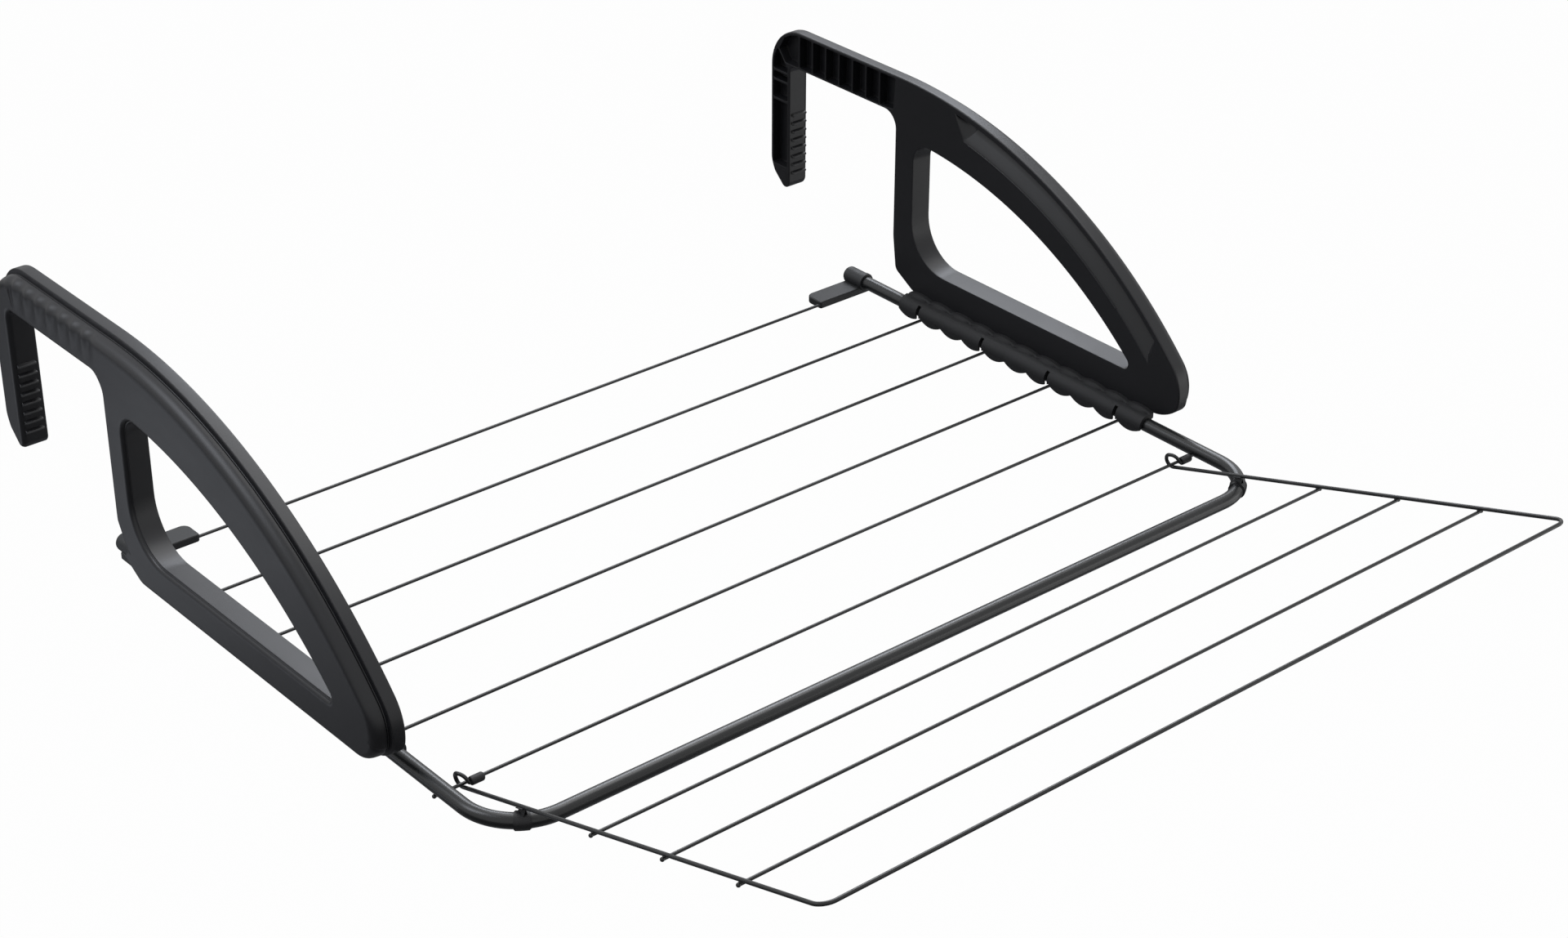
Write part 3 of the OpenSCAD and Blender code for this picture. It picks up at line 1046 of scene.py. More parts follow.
@dataclass
class WingRest:
    """A saddle on the bend of the tube, with a grooved pad that a side wire of the wing lies in."""

    rack: Rack
    side: Side
    plastic: Material
    wing_in: float = 18.0
    tilt: float = 17.5
    wing_r: float = 1.3
    wing_off: float = 2.7
    angle: float = 14.0
    rim_angle: float = 0.8
    wall: float = 1.0
    pad_w: float = 5.0
    pad_len: float = 6.5
    pad_foot: float = 2.0
    pad_lip: float = -0.1
    pad_r: float = 0.45
    play: float = 0.25

    def build(self) -> None:
        """Builds the band round the tube and the pad on it."""
        rack = self.rack
        part = Part(rack.datum)
        centre = Vector((rack.half - rack.bend_r, -rack.length + rack.bend_r, 0))
        cross = math.acos((rack.bend_r - self.wing_in) / rack.bend_r)
        cross_y = centre.y - rack.bend_r * math.sin(cross)
        wire_top = (
            rack.wire_z - self.wing_off / math.cos(math.radians(self.tilt))
            + (rack.wire_y[5] - cross_y) * math.tan(math.radians(self.tilt))
        )
        self._band(part.mesh, centre, math.degrees(cross))
        self._pad(part.mesh, Vector((rack.half - self.wing_in, cross_y, wire_top)))
        part.mirror(self.side)
        part.finish(
            f"{self.side.label}_wing_saddle", "rack", self.plastic,
            f"{self.side.label}_wing_rest",
        )

    def _band(self, mesh: Mesh, centre: Vector, cross: float) -> None:
        """Adds a band that hugs the bend, with rounded rims.

        Args:
            mesh: The mesh to draw in.
            centre: The centre of the bend.
            cross: Where the wire of the wing crosses the bend, in degrees from +X.
        """
        outer, inner = self.rack.tube_r + self.wall, self.rack.tube_r + SNUG_GAP
        turn = Matrix.Rotation(math.radians(-cross - self.angle / 2), 3, ALONG_Z)
        start = centre + turn @ Vector((self.rack.bend_r, 0, 0))
        rod = Rod(mesh, inner, start, turn @ ALONG_Y, 36)
        rod.straight(0.0, outer - 0.9)
        rim = self.rim_angle
        for degrees, radius in (
            (rim, outer - 0.5), (rim, outer), (self.angle - 4 * rim, outer),
            (rim, outer - 0.5), (rim, inner),
        ):
            rod.bend(centre, ALONG_Z, degrees, 6 if degrees > rim else 1)
            rod.straight(0.0, radius)

    def _pad(self, mesh: Mesh, top: Vector) -> None:
        """Adds a small block with a groove along the wire.

        Args:
            mesh: The mesh to draw in.
            top: Where the axis of the wire crosses the axis of the tube, seen from above.
        """
        low, lip, radius = self.pad_foot - top.z, self.pad_lip, self.pad_r
        groove, half = self.wing_r + self.play, self.pad_w / 2
        pen = Pen(mesh, 0.0, (-half, low))
        pen.round((-half, lip), (-groove, lip), radius, 4).to(-groove, lip)
        pen.arc((0.0, lip), 180.0, 10)
        pen.round((half, lip), (half, low), radius, 4).to(half, low)
        line = pen.close()
        block = line + extrude_face(mesh, line, (self.pad_len, 0, 0))
        bmesh.ops.translate(mesh, vec=(-self.pad_len / 2, 0, 0), verts=block)
        for verts, degrees, axis in (
            (block, -90.0, "Z"), ([v for v in block if v.co.z > low + 0.1], -self.tilt, "X"),
        ):
            turn = Matrix.Rotation(math.radians(degrees), 3, axis)
            bmesh.ops.rotate(mesh, verts=verts, cent=(0, 0, 0), matrix=turn)
        bmesh.ops.translate(mesh, vec=top, verts=block)


# ---------------------------------------------------------------- the wing


@dataclass
class Wing:
    """The fold-out wing: a bent wire frame with an eye at each end, cross wires and end caps."""

    rack: Rack
    wire_coat: Material
    cap_plastic: Material
    tilt: float = 17.5
    length: float = 337.0
    wing_in: float = 18.0
    frame_r: float = 1.3
    wire_r: float = 1.1
    corner_r: float = 9.0
    first: float = 133.0
    pitch: float = 67.7
    reach: float = 2.5
    nub: float = 0.6
    weld: Place = (1.3, 1.5, 0.7)
    eye_r: float = 5.0
    eye_gap: float = 0.3
    eye_turn: float = 280.0
    eye_in: float = 2.8
    eye_back: float = 3.2
    elbow_turn: float = 14.0
    elbow_r: float = 1.9
    cap_len: float = 10.0
    cap_r: float = 2.9
    cap_out: float = 2.0
    cap_dome: float = 2.0
    cap_floor: float = 1.2

    @property
    def half(self) -> float:
        """Half the distance between the side wires."""
        return self.rack.half - self.wing_in

    @property
    def drop(self) -> float:
        """How far the wing's plane lies below the pivot wire's axis."""
        return self.rack.wire_r + self.frame_r + self.eye_gap

    def _hand_over(self, part: Part, name: str, material: Material, node: str) -> None:
        """Tilts a piece drawn flat about the pivot, moves it there and finishes it.

        Args:
            part: The piece.
            name: The object's name.
            material: Its finish.
            node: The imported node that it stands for.
        """
        pivot = Vector((0, self.rack.wire_y[5], self.rack.wire_z))
        turn = Matrix.Rotation(math.radians(-self.tilt), 4, "X")
        move = Matrix.Translation(pivot) @ turn
        bmesh.ops.transform(part.mesh, matrix=move, verts=part.mesh.verts)
        part.finish(name, "wing", material, node)

    def build_frame(self) -> None:
        """Bends the frame wire: eye, side, outer bar, side, eye."""
        part = Part(self.rack.datum)
        mesh, drop = part.mesh, self.drop
        straight, inner = self.length - self.corner_r, self.half - self.corner_r
        for side in Side:
            self._eye(mesh, side)
        rod = Rod(mesh, self.frame_r, Vector((-self.half, 0, -drop)), -ALONG_Y)
        rod.straight(straight)
        rod.bend(Vector((-inner, -straight, -drop)), ALONG_Z, 90, 12)
        rod.straight(2 * inner)
        rod.bend(Vector((inner, -straight, -drop)), ALONG_Z, 90, 12)
        rod.straight(straight)
        self._hand_over(part, "wing_wire_frame", self.wire_coat, "wing_frame")

    def _eye(self, mesh: Mesh, side: Side) -> None:
        """Winds an eye round the pivot wire and leads its end aside into the cap.

        Args:
            mesh: The mesh to draw in.
            side: The side of the wing that the eye is on.
        """
        x = side.value * self.half
        rod = Rod(mesh, self.frame_r, Vector((x, 0, -self.drop)), ALONG_Y)
        middle = Vector((x, 0, self.eye_r - self.drop))
        rod.bend(middle, ALONG_X, 180, 18, ALONG_X * -self.eye_in)
        rest = self.eye_turn - 180 - self.elbow_turn
        rod.bend(middle, ALONG_X, rest, 10, ALONG_X * self.eye_back)
        rod.bend(rod.centre + ALONG_X * self.elbow_r, rod.along.cross(ALONG_X), 90, 8)
        rod.straight(self.cap_len - 1.5)
        rod.cap()

    def build_wires(self) -> None:
        """Lays the cross wires of the wing under its frame."""
        z = -self.drop - self.frame_r - self.wire_r - TOUCH_GAP
        for i in range(3):
            part = Part(self.rack.datum)
            y = -self.first - i * self.pitch
            add_cross_wire(part.mesh, self.wire_r, self.half + self.reach, y, z, self.nub)
            for side in Side:
                at = Vector((side.value * self.half, y, z + self.wire_r))
                add_bead(part.mesh, at, self.weld)
            name = f"wing_wire_{i + 1}"
            self._hand_over(part, f"{name}_coated", self.wire_coat, name)

    def build_caps(self) -> None:
        """Puts a soft cap on the end of each eye wire."""
        angle = math.radians(self.eye_turn)
        bore, edge = self.frame_r + SNUG_GAP, 0.8
        rows = (
            (0.0, self.cap_r - 0.5), (edge - 0.5, self.cap_r - 0.12), (0.5, self.cap_r),
            (self.cap_len - edge - self.cap_dome, self.cap_r),
        )
        for side in Side:
            part = Part(self.rack.datum)
            start = Vector((
                side.value * self.half + self.cap_out, self.eye_r * math.sin(angle),
                self.eye_r - self.drop - self.eye_r * math.cos(angle),
            ))
            depth = self.cap_len - self.cap_floor
            add_sleeve(part.mesh, bore, depth, start, ALONG_X, rows, (self.cap_dome, 5), 24)
            self._hand_over(
                part, f"{side.label}_wire_cap", self.cap_plastic,
                f"{side.label}_eye_cap",
            )


# ---------------------------------------------------------------- the brackets


@dataclass
class Bracket:
    """A moulded bracket: a hook over the rail, a back post, and an arch round an open window."""

    rack: Rack
    side: Side
    plastic: Material
    # the plate, from the axis of the tube and the ends of the tubes
    out: float = 6.0
    thick: float = 19.0
    body_back: float = 37.0
    body_low: float = 7.0
    # the hook: the seat on the rail, the gap that the rail fits in, the arm and the leg
    seat: float = 147.0
    gap: float = 123.0
    arm: float = 30.0
    corner_r: float = 34.0
    leg_w: float = 22.0
    leg_tip: float = 40.0
    hook_r: float = 6.0
    # the post behind the rail, the bar along the tube and the arch, nose and chin before them
    post_w: float = 21.0
    post_fillet: float = 13.0
    bar: float = 24.0
    arch_start: float = 3.0
    arch_w: float = 43.5
    nose_in: float = 21.0
    nose_r: float = 34.0
    nose_z: float = 28.0
    nose_end: float = 104.0
    chin_in: float = 7.5
    chin_turn: float = 38.0
    chin_flat: float = 4.1
    # the window: how far its centre lies from the arch's, and its corners
    window_back: float = 8.0
    window_down: float = 3.0
    window_low_r: float = 36.0
    window_top_r: float = 15.0
    window_tip_r: float = 4.0
    # the flat band, the groove beside it, the rounded crown and the edges of the outer face
    band: float = 9.0
    groove: float = 2.0
    groove_depth: float = 4.2
    crown_in: float = 3.6
    crown_r: float = 8.0
    edge_r: float = 3.4
    window_r: float = 2.3
    draft: float = 0.4
    # the grip grooves on the arm, the ribs and pockets, the hollow of the arch and the teeth
    grip_pitch: float = 15.2
    grip_depth: float = 1.5
    rib_pitch: float = 15.5
    rib: float = 1.6
    pocket: float = 7.5
    pocket_r: float = 1.2
    rim: float = 2.6
    seat_rim: float = 1.5
    hollow_in: float = 4.5
    lip_r: float = 0.65
    teeth: int = 8
    tooth: float = 2.3
    tooth_pitch: float = 7.0

    def __post_init__(self) -> None:
        """Works out the places that follow from the sizes."""
        self.post = -self.body_back
        self.leg = self.post + self.gap
        self.back = self.leg + self.leg_w
        self.top = self.seat + self.arm
        self.inner = self.rack.half + self.out
        self.corner_c = (self.back - self.corner_r, self.top - self.corner_r)
        self.nose_c = (self.rack.wire_y[5] + self.nose_in + self.nose_r, self.nose_z)
        self.chin_c = (self.nose_c[0] - self.chin_in, self.body_low + self.nose_r)
        span = self.post - self.arch_start - self.nose_c[0]
        drop = self.top - self.nose_z
        self.arch_r = (span**2 + drop**2 - self.nose_r**2) / (2 * (drop - self.nose_r))
        self.arch_c = (self.post - self.arch_start, self.top - self.arch_r)
        self.nose_turn = math.degrees(math.asin(span / (self.arch_r - self.nose_r)))
        self.win_r = self.arch_r - self.arch_w
        self.win_c = (self.arch_c[0] - self.window_back, self.arch_c[1] - self.window_down)
        self.hollow_r = self.win_r + self.arch_w / 2

    # the lines of the bracket

    def _outline(self, mesh: Mesh) -> list[Vert]:
        """Draws the outer outline on the inner face: nose, arch, arm, leg, post, foot and chin.

        Args:
            mesh: The mesh to draw in.

        Returns:
            Its vertices in order.
        """
        seat, leg, post, back, tip = self.seat, self.leg, self.post, self.back, self.leg_tip
        start = on_arc(self.nose_c, self.nose_r, self.nose_end)
        pen = Pen(mesh, self.inner, start)
        pen.arc(self.nose_c, self.nose_turn - self.nose_end, 18)
        pen.arc(self.arch_c, -self.nose_turn, 56)
        pen.to(self.corner_c[0], self.top, 64).arc(self.corner_c, -90.0, 22)
        pen.corners((
            ((back, tip + 22), 20.0, 4), ((back - 4, tip + 13), 10.0, 5),
            ((leg + 4, tip), 4.6, 6), ((leg, tip + 7), 5.0, 4),
            ((leg, seat), self.hook_r, 8), ((post, seat), self.post_fillet, 10),
            ((post, 47.0), 40.0, 4), ((post - 3.5, 19.5), 7.0, 6),
            ((post - 25, self.body_low), 16.0, 5),
        ), (self.chin_c[0], self.body_low))
        pen.to(self.chin_c[0], self.body_low, 2).arc(self.chin_c, -self.chin_turn, 8)
        along = math.radians(self.chin_turn)
        y, z = pen.at
        chin = (y - self.chin_flat * math.cos(along), z + self.chin_flat * math.sin(along))
        return pen.round(chin, start, 12.0, 6).close()

    def _window(self, mesh: Mesh) -> list[Vert]:
        """Draws the open window on the inner face.

        Args:
            mesh: The mesh to draw in.

        Returns:
            Its vertices in order.
        """
        back, low = self.post - self.post_w, self.body_low + self.bar
        top_bow, tip_bow = self.win_r - self.window_top_r, self.win_r - self.window_tip_r
        cy, cz = self.win_c
        top_y = back - self.window_top_r
        top_z = cz + math.sqrt(top_bow**2 - (cy - top_y) ** 2)
        top_turn = math.degrees(math.asin((cy - top_y) / top_bow))
        tip_z = low + self.window_tip_r
        tip_y = cy - math.sqrt(tip_bow**2 - (tip_z - cz) ** 2)
        tip_turn = math.degrees(math.asin((cy - tip_y) / tip_bow))
        pen = Pen(mesh, self.inner, (tip_y, low))
        pen.round((back, low), (back, top_z), self.window_low_r, 14).to(back, top_z, 4)
        pen.arc((top_y, top_z), 90.0 + top_turn, 10)
        pen.arc(self.win_c, tip_turn - top_turn, 40)
        return pen.arc((tip_y, tip_z), 180.0 - tip_turn, 10).close()

    def _shoulder(self, y: float, z: float) -> float:
        """How much of the shoulder a point of the outline gets.

        Args:
            y: The point.
            z: The point.

        Returns:
            The share, from 0 to 1.
        """
        if y >= self.arch_c[0]:
            return min(1.0, max(0.0, (z - self.corner_c[1] - 0.01) / self.corner_r))
        if z > self.nose_z - 9.0:
            return 1.0
        if y > self.chin_c[0]:
            return 0.0
        turn = math.degrees(math.atan2(self.chin_c[0] - y, self.chin_c[1] - z))
        return min(1.0, (turn / 46.0) ** 2)

    def _fan(self, y: float, z: float) -> float:
        """How far down the arm's face the grip grooves run from a point.

        Args:
            y: The point.
            z: The point.

        Returns:
            The share, from 0 to 1.
        """
        fade = 12.0
        if z < self.top - 1.0:
            return 0.0
        return max(0.0, min(1.0, (y - self.post + 4.0) / fade, (self.leg + 8.0 - y) / fade))

    def _grip(self, strength: float) -> Callable[[float, float], float]:
        """The grip grooves along the arm.

        Args:
            strength: Their depth, from 0 to 1.

        Returns:
            What gives the depth at a base point (y, z).
        """
        first, last, fade = self.post + 4.0, self.leg + 2.0, 8.0

        def depth(y: float, z: float) -> float:
            """The depth of the grooves.

            Args:
                y: The base point.
                z: The base point.

            Returns:
                The depth there.
            """
            if z < self.top - 8.0 or not first < y < last:
                return 0.0
            ends = min(1.0, (y - first) / fade, (last - y) / fade)
            wave = 0.5 - 0.5 * math.cos(2 * math.pi * (y - first) / self.grip_pitch)
            return self.grip_depth * strength * ends * wave**0.6

        return depth

    # its faces

    def _outer_wall(self, mesh: Mesh) -> tuple[Ring, Wall]:
        """Raises the outline from the inner to the outer face.

        Args:
            mesh: The mesh to draw in.

        Returns:
            The line on the inner face, and the wall with its line on the outer face.
        """
        x, face, thick = self.inner, self.inner + self.thick, self.thick
        outer = Wall(
            mesh, self._outline(mesh), hole=False, share=self._shoulder, reach=self._fan
        )
        outer.set_in(x, 1.0, 1.0)
        start = outer.rim()
        band, deep, crown = self.band, self.groove_depth, self.crown_in
        for up, inset in (
            (0.2, 0.5), (0.6, 0.15), (1.2, 0.0), (band - 0.8, 0.0), (band - 0.3, 0.15),
            (band, 0.5), (band + 0.15, 1.2), (band + 0.3, deep - 0.8), (band + 0.5, deep - 0.2),
            (band + 0.9, deep), (band + 1.4, deep - 0.15), (band + self.groove, crown),
        ):
            outer.step(x + up, inset if up < 1.0 else 0.0, inset, dent=self._grip(0.0))
        foot = band + self.groove
        for k in range(1, 11):
            angle = math.radians(9.0 * k)
            up = foot + (thick - foot) * math.sin(angle)
            over = max(0.0, up - (thick - self.edge_r))
            plain = self.edge_r - math.sqrt(max(0.0, self.edge_r**2 - over**2))
            lip = crown + self.crown_r * (1 - math.cos(angle))
            outer.step(x + up, plain, lip, dent=self._grip(min(1.0, 0.3 + 0.2 * k)))
        for more, further, strength in (
            (0.1, 1.5, 0.8), (0.2, 3.5, 0.6), (0.3, 6.0, 0.42), (0.4, 9.0, 0.3), (0.5, 12.0, 0.0),
        ):
            plain, lip = self.edge_r + more, crown + self.crown_r + more
            outer.step(face, plain, lip, further, dent=self._grip(strength))
        return start, outer

    def _window_wall(self, mesh: Mesh) -> tuple[Ring, Wall]:
        """Raises the window from the inner to the outer face.

        Args:
            mesh: The mesh to draw in.

        Returns:
            The line on the inner face, and the wall with its line on the outer face.
        """
        window = Wall(mesh, self._window(mesh), hole=True)
        window.set_in(self.inner, 1.0 + self.draft)
        start = window.rim()
        window.steps(self.inner, ((0.3, 0.3 + self.draft), (1.0, self.draft)))
        lip = self.inner + self.thick - self.window_r - 0.3
        window.steps(lip, ((-0.5, -1.0), (-0.1, -0.85), (0.0, -0.3), (0.3, 0.0)))
        for k in range(1, 7):
            angle = math.radians(15.0 * k)
            up = 0.3 + self.window_r * math.sin(angle)
            window.step(lip + up, self.edge_r * (1 - math.cos(angle)))
        return start, window

    def _pocket_corners(self) -> list[tuple[Point, ...]]:
        """Lays out the pockets: those of the arm, its two ends, the bend and the leg.

        Returns:
            The corners of each pocket.
        """
        floor, roof = self.seat + self.seat_rim, self.top - self.rim
        first = self.leg - 12.0
        lines = []
        for i in range(6):
            low, high = first - (i + 1) * self.rib_pitch + self.rib, first - i * self.rib_pitch
            lines.append(((low, floor), (high, floor), (high, roof), (low, roof)))
        last, heel = first - 6 * self.rib_pitch, self.post + 3.0
        lines.append(((heel, floor + 1.0), (last, floor), (last, roof), (heel - 2.0, roof)))
        front, back, sill = self.leg + self.rim, self.back - self.rim, self.seat - 4.0
        start = first + self.rib
        arc = [on_arc(self.corner_c, self.corner_r - self.rim, a) for a in (-8, -22, -36, -78)]
        lines.append((
            (start, floor), (self.leg + 5.2, floor), (self.leg + 12.6, floor + 9.5),
            arc[2], arc[1], arc[0], (start, roof),
        ))
        lines.append((
            (front, sill + 0.9), (front, sill - 3.0), (back, sill - 3.0), arc[3],
            (self.leg + 14.8, sill + 15.0),
        ))
        for low, high in (
            (self.seat - 15, self.seat - 9), (self.seat - 31, self.seat - 17),
            (self.leg_tip + 20, self.seat - 33),
        ):
            lines.append(((front, low), (back, low), (back, high), (front, high)))
        return lines

    def _pocket(self, mesh: Mesh, corners: Sequence[Point]) -> Ring:
        """Sinks one pocket with rounded corners, lips and floor edges.

        Args:
            mesh: The mesh to draw in.
            corners: Its corners, as (y, z).

        Returns:
            The line of its mouth.
        """
        middle = tuple((Vector(corners[0]) + Vector(corners[-1])) / 2)
        pen = Pen(mesh, self.inner, middle)
        pen.corners([(corner, self.pocket_r, 4) for corner in corners], middle)
        wall = Wall(mesh, pen.close(), hole=True)
        wall.set_in(self.inner, 0.5)
        mouth, floor = wall.rim(), self.pocket
        rows = ((0.15, 0.15), (0.5, 0.0), (floor - 0.8, -0.1), (floor - 0.2, -0.3), (floor, -0.9))
        wall.steps(self.inner, rows)
        wall.fill()
        return mouth

    def _hollow(self, mesh: Mesh) -> Ring:
        """Scoops out the long hollow behind the lip of the arch.

        Args:
            mesh: The mesh to draw in.

        Returns:
            The line of its mouth.
        """
        outer_r, lip_r = self.arch_r - self.hollow_in, self.hollow_r
        first, last = self.nose_turn - 3.0, 9.0
        corner = on_arc(self.arch_c, outer_r, first)
        pen = Pen(mesh, self.inner, corner).arc(self.arch_c, last - first, 40)
        pen.to(*on_arc(self.arch_c, lip_r, last + 2.0), 8)
        pen.arc(self.arch_c, first - 0.5 - last, 40).to(*corner, 6)

        def slope(y: float, z: float) -> float:
            """How near a point (y, z) is to the lip, from 0 to 1."""
            out = (Vector((y, z)) - Vector(self.arch_c)).length
            return min(1.0, max(0.0, (outer_r - out) / (outer_r - lip_r)))

        wall = Wall(mesh, pen.close(), hole=True, share=slope)
        wall.set_in(self.inner, 0.2, 0.2)
        mouth = wall.rim()
        for up, steep, gentle in (
            (0.05, 0.1, 0.0), (0.3, -0.2, -0.6), (0.9, -0.4, -1.8), (1.9, -0.7, -3.4),
            (3.3, -1.1, -5.6), (4.9, -1.7, -8.0), (6.5, -2.6, -10.4), (7.2, -4.0, -12.6),
        ):
            wall.step(self.inner + up, steep, gentle)
        wall.fill()
        return mouth

    def _lip(self, mesh: Mesh) -> None:
        """Adds the thin lip that stands along the lower part of the hollow.

        Args:
            mesh: The mesh to draw in.
        """
        x, first, last = self.inner + 0.1, self.nose_turn * 0.25, self.nose_turn - 8.5
        a = math.radians(first)
        start = Vector((x, *on_arc(self.arch_c, self.hollow_r, first)))
        rod = Rod(mesh, self.lip_r, start, Vector((0.0, -math.cos(a), -math.sin(a))), 10)
        rod.cap(rod.start)
        rod.bend(Vector((x, *self.arch_c)), ALONG_X, last - first, 48)
        rod.dome(self.lip_r)

    def _teeth(self, mesh: Mesh) -> None:
        """Adds the row of grip teeth on the front of the leg.

        Args:
            mesh: The mesh to draw in.
        """
        root, point, start = self.leg + 1.0, self.leg - self.tooth, self.inner + 3.0
        end = self.inner + self.thick - 2.7
        for k in range(self.teeth):
            z = self.leg_tip + 15.5 + self.tooth_pitch * k
            pen = Pen(mesh, start, (root, z - 2.1))
            pen.round((point, z - 0.6), (point, z + 0.6), 0.5, 3)
            pen.round((point, z + 0.8), (root, z + 2.1), 0.5, 3).to(root, z + 2.1)
            wall = Wall(mesh, pen.close(), hole=False)
            wall.set_in(start, 0.4)
            wall.fill()
            wall.steps(0.0, ((start + 0.7, 0.0), (end - 0.7, 0.0), (end, 0.4)))
            wall.fill()

    def build(self) -> None:
        """Builds the bracket and hands it over."""
        part = Part(self.rack.datum)
        mesh = part.mesh
        outline, outer = self._outer_wall(mesh)
        opening, window = self._window_wall(mesh)
        outer.fill(window)
        mouths = [self._pocket(mesh, corners) for corners in self._pocket_corners()]
        outline.fill(opening, self._hollow(mesh), *mouths)
        self._lip(mesh)
        self._teeth(mesh)
        part.mirror(self.side)
        part.finish(
            f"{self.side.label}_bracket_moulding", self.side.bracket_body,
            self.plastic, f"{self.side.label}_bracket", sharp=32.0,
        )


@dataclass
class Clip:
    """The scalloped clip that wraps round the side tube and is fixed to the bracket."""

    bracket: Bracket
    plastic: Material
    # the shell round the tube: its gap and wall, and the turn of its inner lip in degrees
    gap: float = 0.06
    wall: float = 2.8
    lap: float = 3.0
    root: float = 3.8
    under: float = 52.0
    # the skirt beside the tube, and the slots over the wires
    skirt_from: float = 100.0
    skirt: float = 3.5
    lean: float = 0.04
    slot: float = 3.0
    slot_top: float = 36.0
    slot_lap: float = 0.3
    # the scallops: how far a cusp lies behind a wire, the swell of a tab, the length of a row
    behind: float = 2.5
    bulge: float = 0.4
    row: float = 0.95

    def __post_init__(self) -> None:
        """Works out the radii and the length of a tab, which is a third of the wires' pitch."""
        rack = self.bracket.rack
        self.inner_r = rack.tube_r + self.gap
        self.outer_r = self.inner_r + self.wall
        self.tab_start = rack.wire_y[1] - self.behind
        self.tab_len = (rack.wire_y[0] - rack.wire_y[1]) / 3

    def build(self) -> None:
        """Wraps runs of clip round the tube, joined over the slots that clear the wires."""
        rack, side, half = self.bracket.rack, self.bracket.side, self.slot / 2
        part = Part(rack.datum)
        ends = [self.tab_start + self.tab_len]
        for wire in rack.wire_y[1:5]:
            ends += [wire + half, wire - half]
            reach = half + self.slot_lap
            self._run(part.mesh, wire - reach, wire + reach, self._bridge)
        ends.append(rack.wire_y[4] - self.behind - self.tab_len)
        for back, front in zip(ends[::2], ends[1::2]):
            self._run(part.mesh, front, back, self._section)
        bmesh.ops.remove_doubles(part.mesh, verts=part.mesh.verts, dist=MERGE_GAP)
        open_edges = [e for e in part.mesh.edges if len(e.link_faces) == 1]
        bmesh.ops.holes_fill(part.mesh, edges=open_edges, sides=0)
        part.mirror(side)
        part.finish(
            f"{side.label}_clip_moulding", side.bracket_body, self.plastic,
            f"{side.label}_tube_clip",
        )

    def _run(
        self, mesh: Mesh, front: float, back: float, section: Callable[[float], list[Point]]
    ) -> None:
        """Wraps one grid round the tube.

        Args:
            mesh: The mesh to draw in.
            front: Where the run starts.
            back: Where it ends.
            section: What gives the section at a place along the tube, as (x, z) from its axis.
        """
        half = self.bracket.rack.half
        along = max(2, round((back - front) / self.row))
        rows = [[(half + x, y, z) for x, z in section(y)] for y in evenly(front, back, along)]
        across = len(rows[0]) - 1
        made = bmesh.ops.create_grid(mesh, x_segments=across, y_segments=along, size=1.0)["verts"]
        for vert in made:
            column, row = (
                round((place + 1.0) / 2 * count)
                for place, count in ((vert.co.x, across), (vert.co.y, along))
            )
            vert.co = rows[row][column]

    def _tab(self, y: float) -> float:
        """How full the tab is at a place along the tube, from 0 at a cusp to 1."""
        phase = ((self.tab_start - y) / self.tab_len) % 1.0
        return 1.0 - (2.0 * phase - 1.0) ** 2

    def _over(self, tab: float, turns: Sequence[float]) -> list[Point]:
        """Draws the outer skin, from the bracket over the tube and down its outer side.

        Args:
            tab: How full the tab is.
            turns: The turns from the top of the tube that it passes, in degrees.

        Returns:
            Its points.
        """
        top = self.bracket.body_low + self.lap * (0.35 + 0.65 * tab)
        line = [
            (self.bracket.out, top), (3.6, top), (2.7, top - 0.25), (1.7, top - 0.9),
            (0.4, self.outer_r + 0.35),
        ]
        for turn in turns:
            bulged = self.outer_r + self.bulge * tab * min(1.0, turn / 60.0)
            line.append(on_arc((0.0, 0.0), bulged, turn))
        return line

    def _back(self, first: float, steps: int, start: Point) -> list[Point]:
        """Draws the inner skin back along the tube to the bracket, and closes the section.

        Args:
            first: The turn from the top of the tube that it starts at, in degrees.
            steps: Its steps.
            start: The first point of the section.

        Returns:
            Its points.
        """
        turns = evenly(first, -self.under, steps)
        line = [on_arc((0.0, 0.0), self.inner_r, turn) for turn in turns]
        return line + [(self.bracket.out, self.root), start]

    def _bridge(self, y: float) -> list[Point]:
        """Draws the section over a slot, which ends where the folded clip meets the wire."""
        line = self._over(self._tab(y), evenly(5.0, self.slot_top, 12))
        return line + self._back(self.slot_top, 12, line[0])

    def _section(self, y: float) -> list[Point]:
        """Draws the whole section, with the skirt that hangs down beside the tube.

        Args:
            y: The place along the tube.

        Returns:
            Its points, over the outside and back along the tube, with the first one repeated.
        """
        tab, last = self._tab(y), self.skirt_from
        line = self._over(tab, evenly(5.0, 85.0, 8) + [90.0, 95.0, last])
        x, z = line[-1]
        drop = 0.4 + self.skirt * tab
        line += [(x + self.lean * drop * k / 6, z - drop * k / 6) for k in range(1, 7)]
        x, z = line[-1]
        line += [(x + 0.2, z - 0.4), (x + 0.8, z - 0.6), (x + 1.4, z - 0.4)]
        line += [(x + 1.6 - self.lean * drop * k / 4, z + drop * k / 4) for k in range(5)]
        return line + self._back(last, 18, line[0])


# ---------------------------------------------------------------- the studio


@dataclass(frozen=True)
class Lamp:
    """A soft rectangular lamp: its place, what it faces, its size, its watts and its light."""

    name: str
    at: Place
    aim: Place
    size: Point
    power: float
    tint: Colour = (1.0, 1.0, 1.0)
    spread: float = 180.0

    def hang(self) -> None:
        """Puts the lamp in the scene."""
        data = bpy.data.lights.new(self.name, "AREA")
        data.spread = math.radians(self.spread)
        data.color = self.tint
        data.shape = "RECTANGLE"
        data.size, data.size_y = self.size
        data.energy = self.power
        lamp = bpy.data.objects.new(self.name, data)
        lamp.location = self.at
        lamp.rotation_mode = "QUATERNION"
        lamp.rotation_quaternion = (Vector(self.aim) - Vector(self.at)).to_track_quat("-Z", "Y")
        bpy.context.scene.collection.objects.link(lamp)


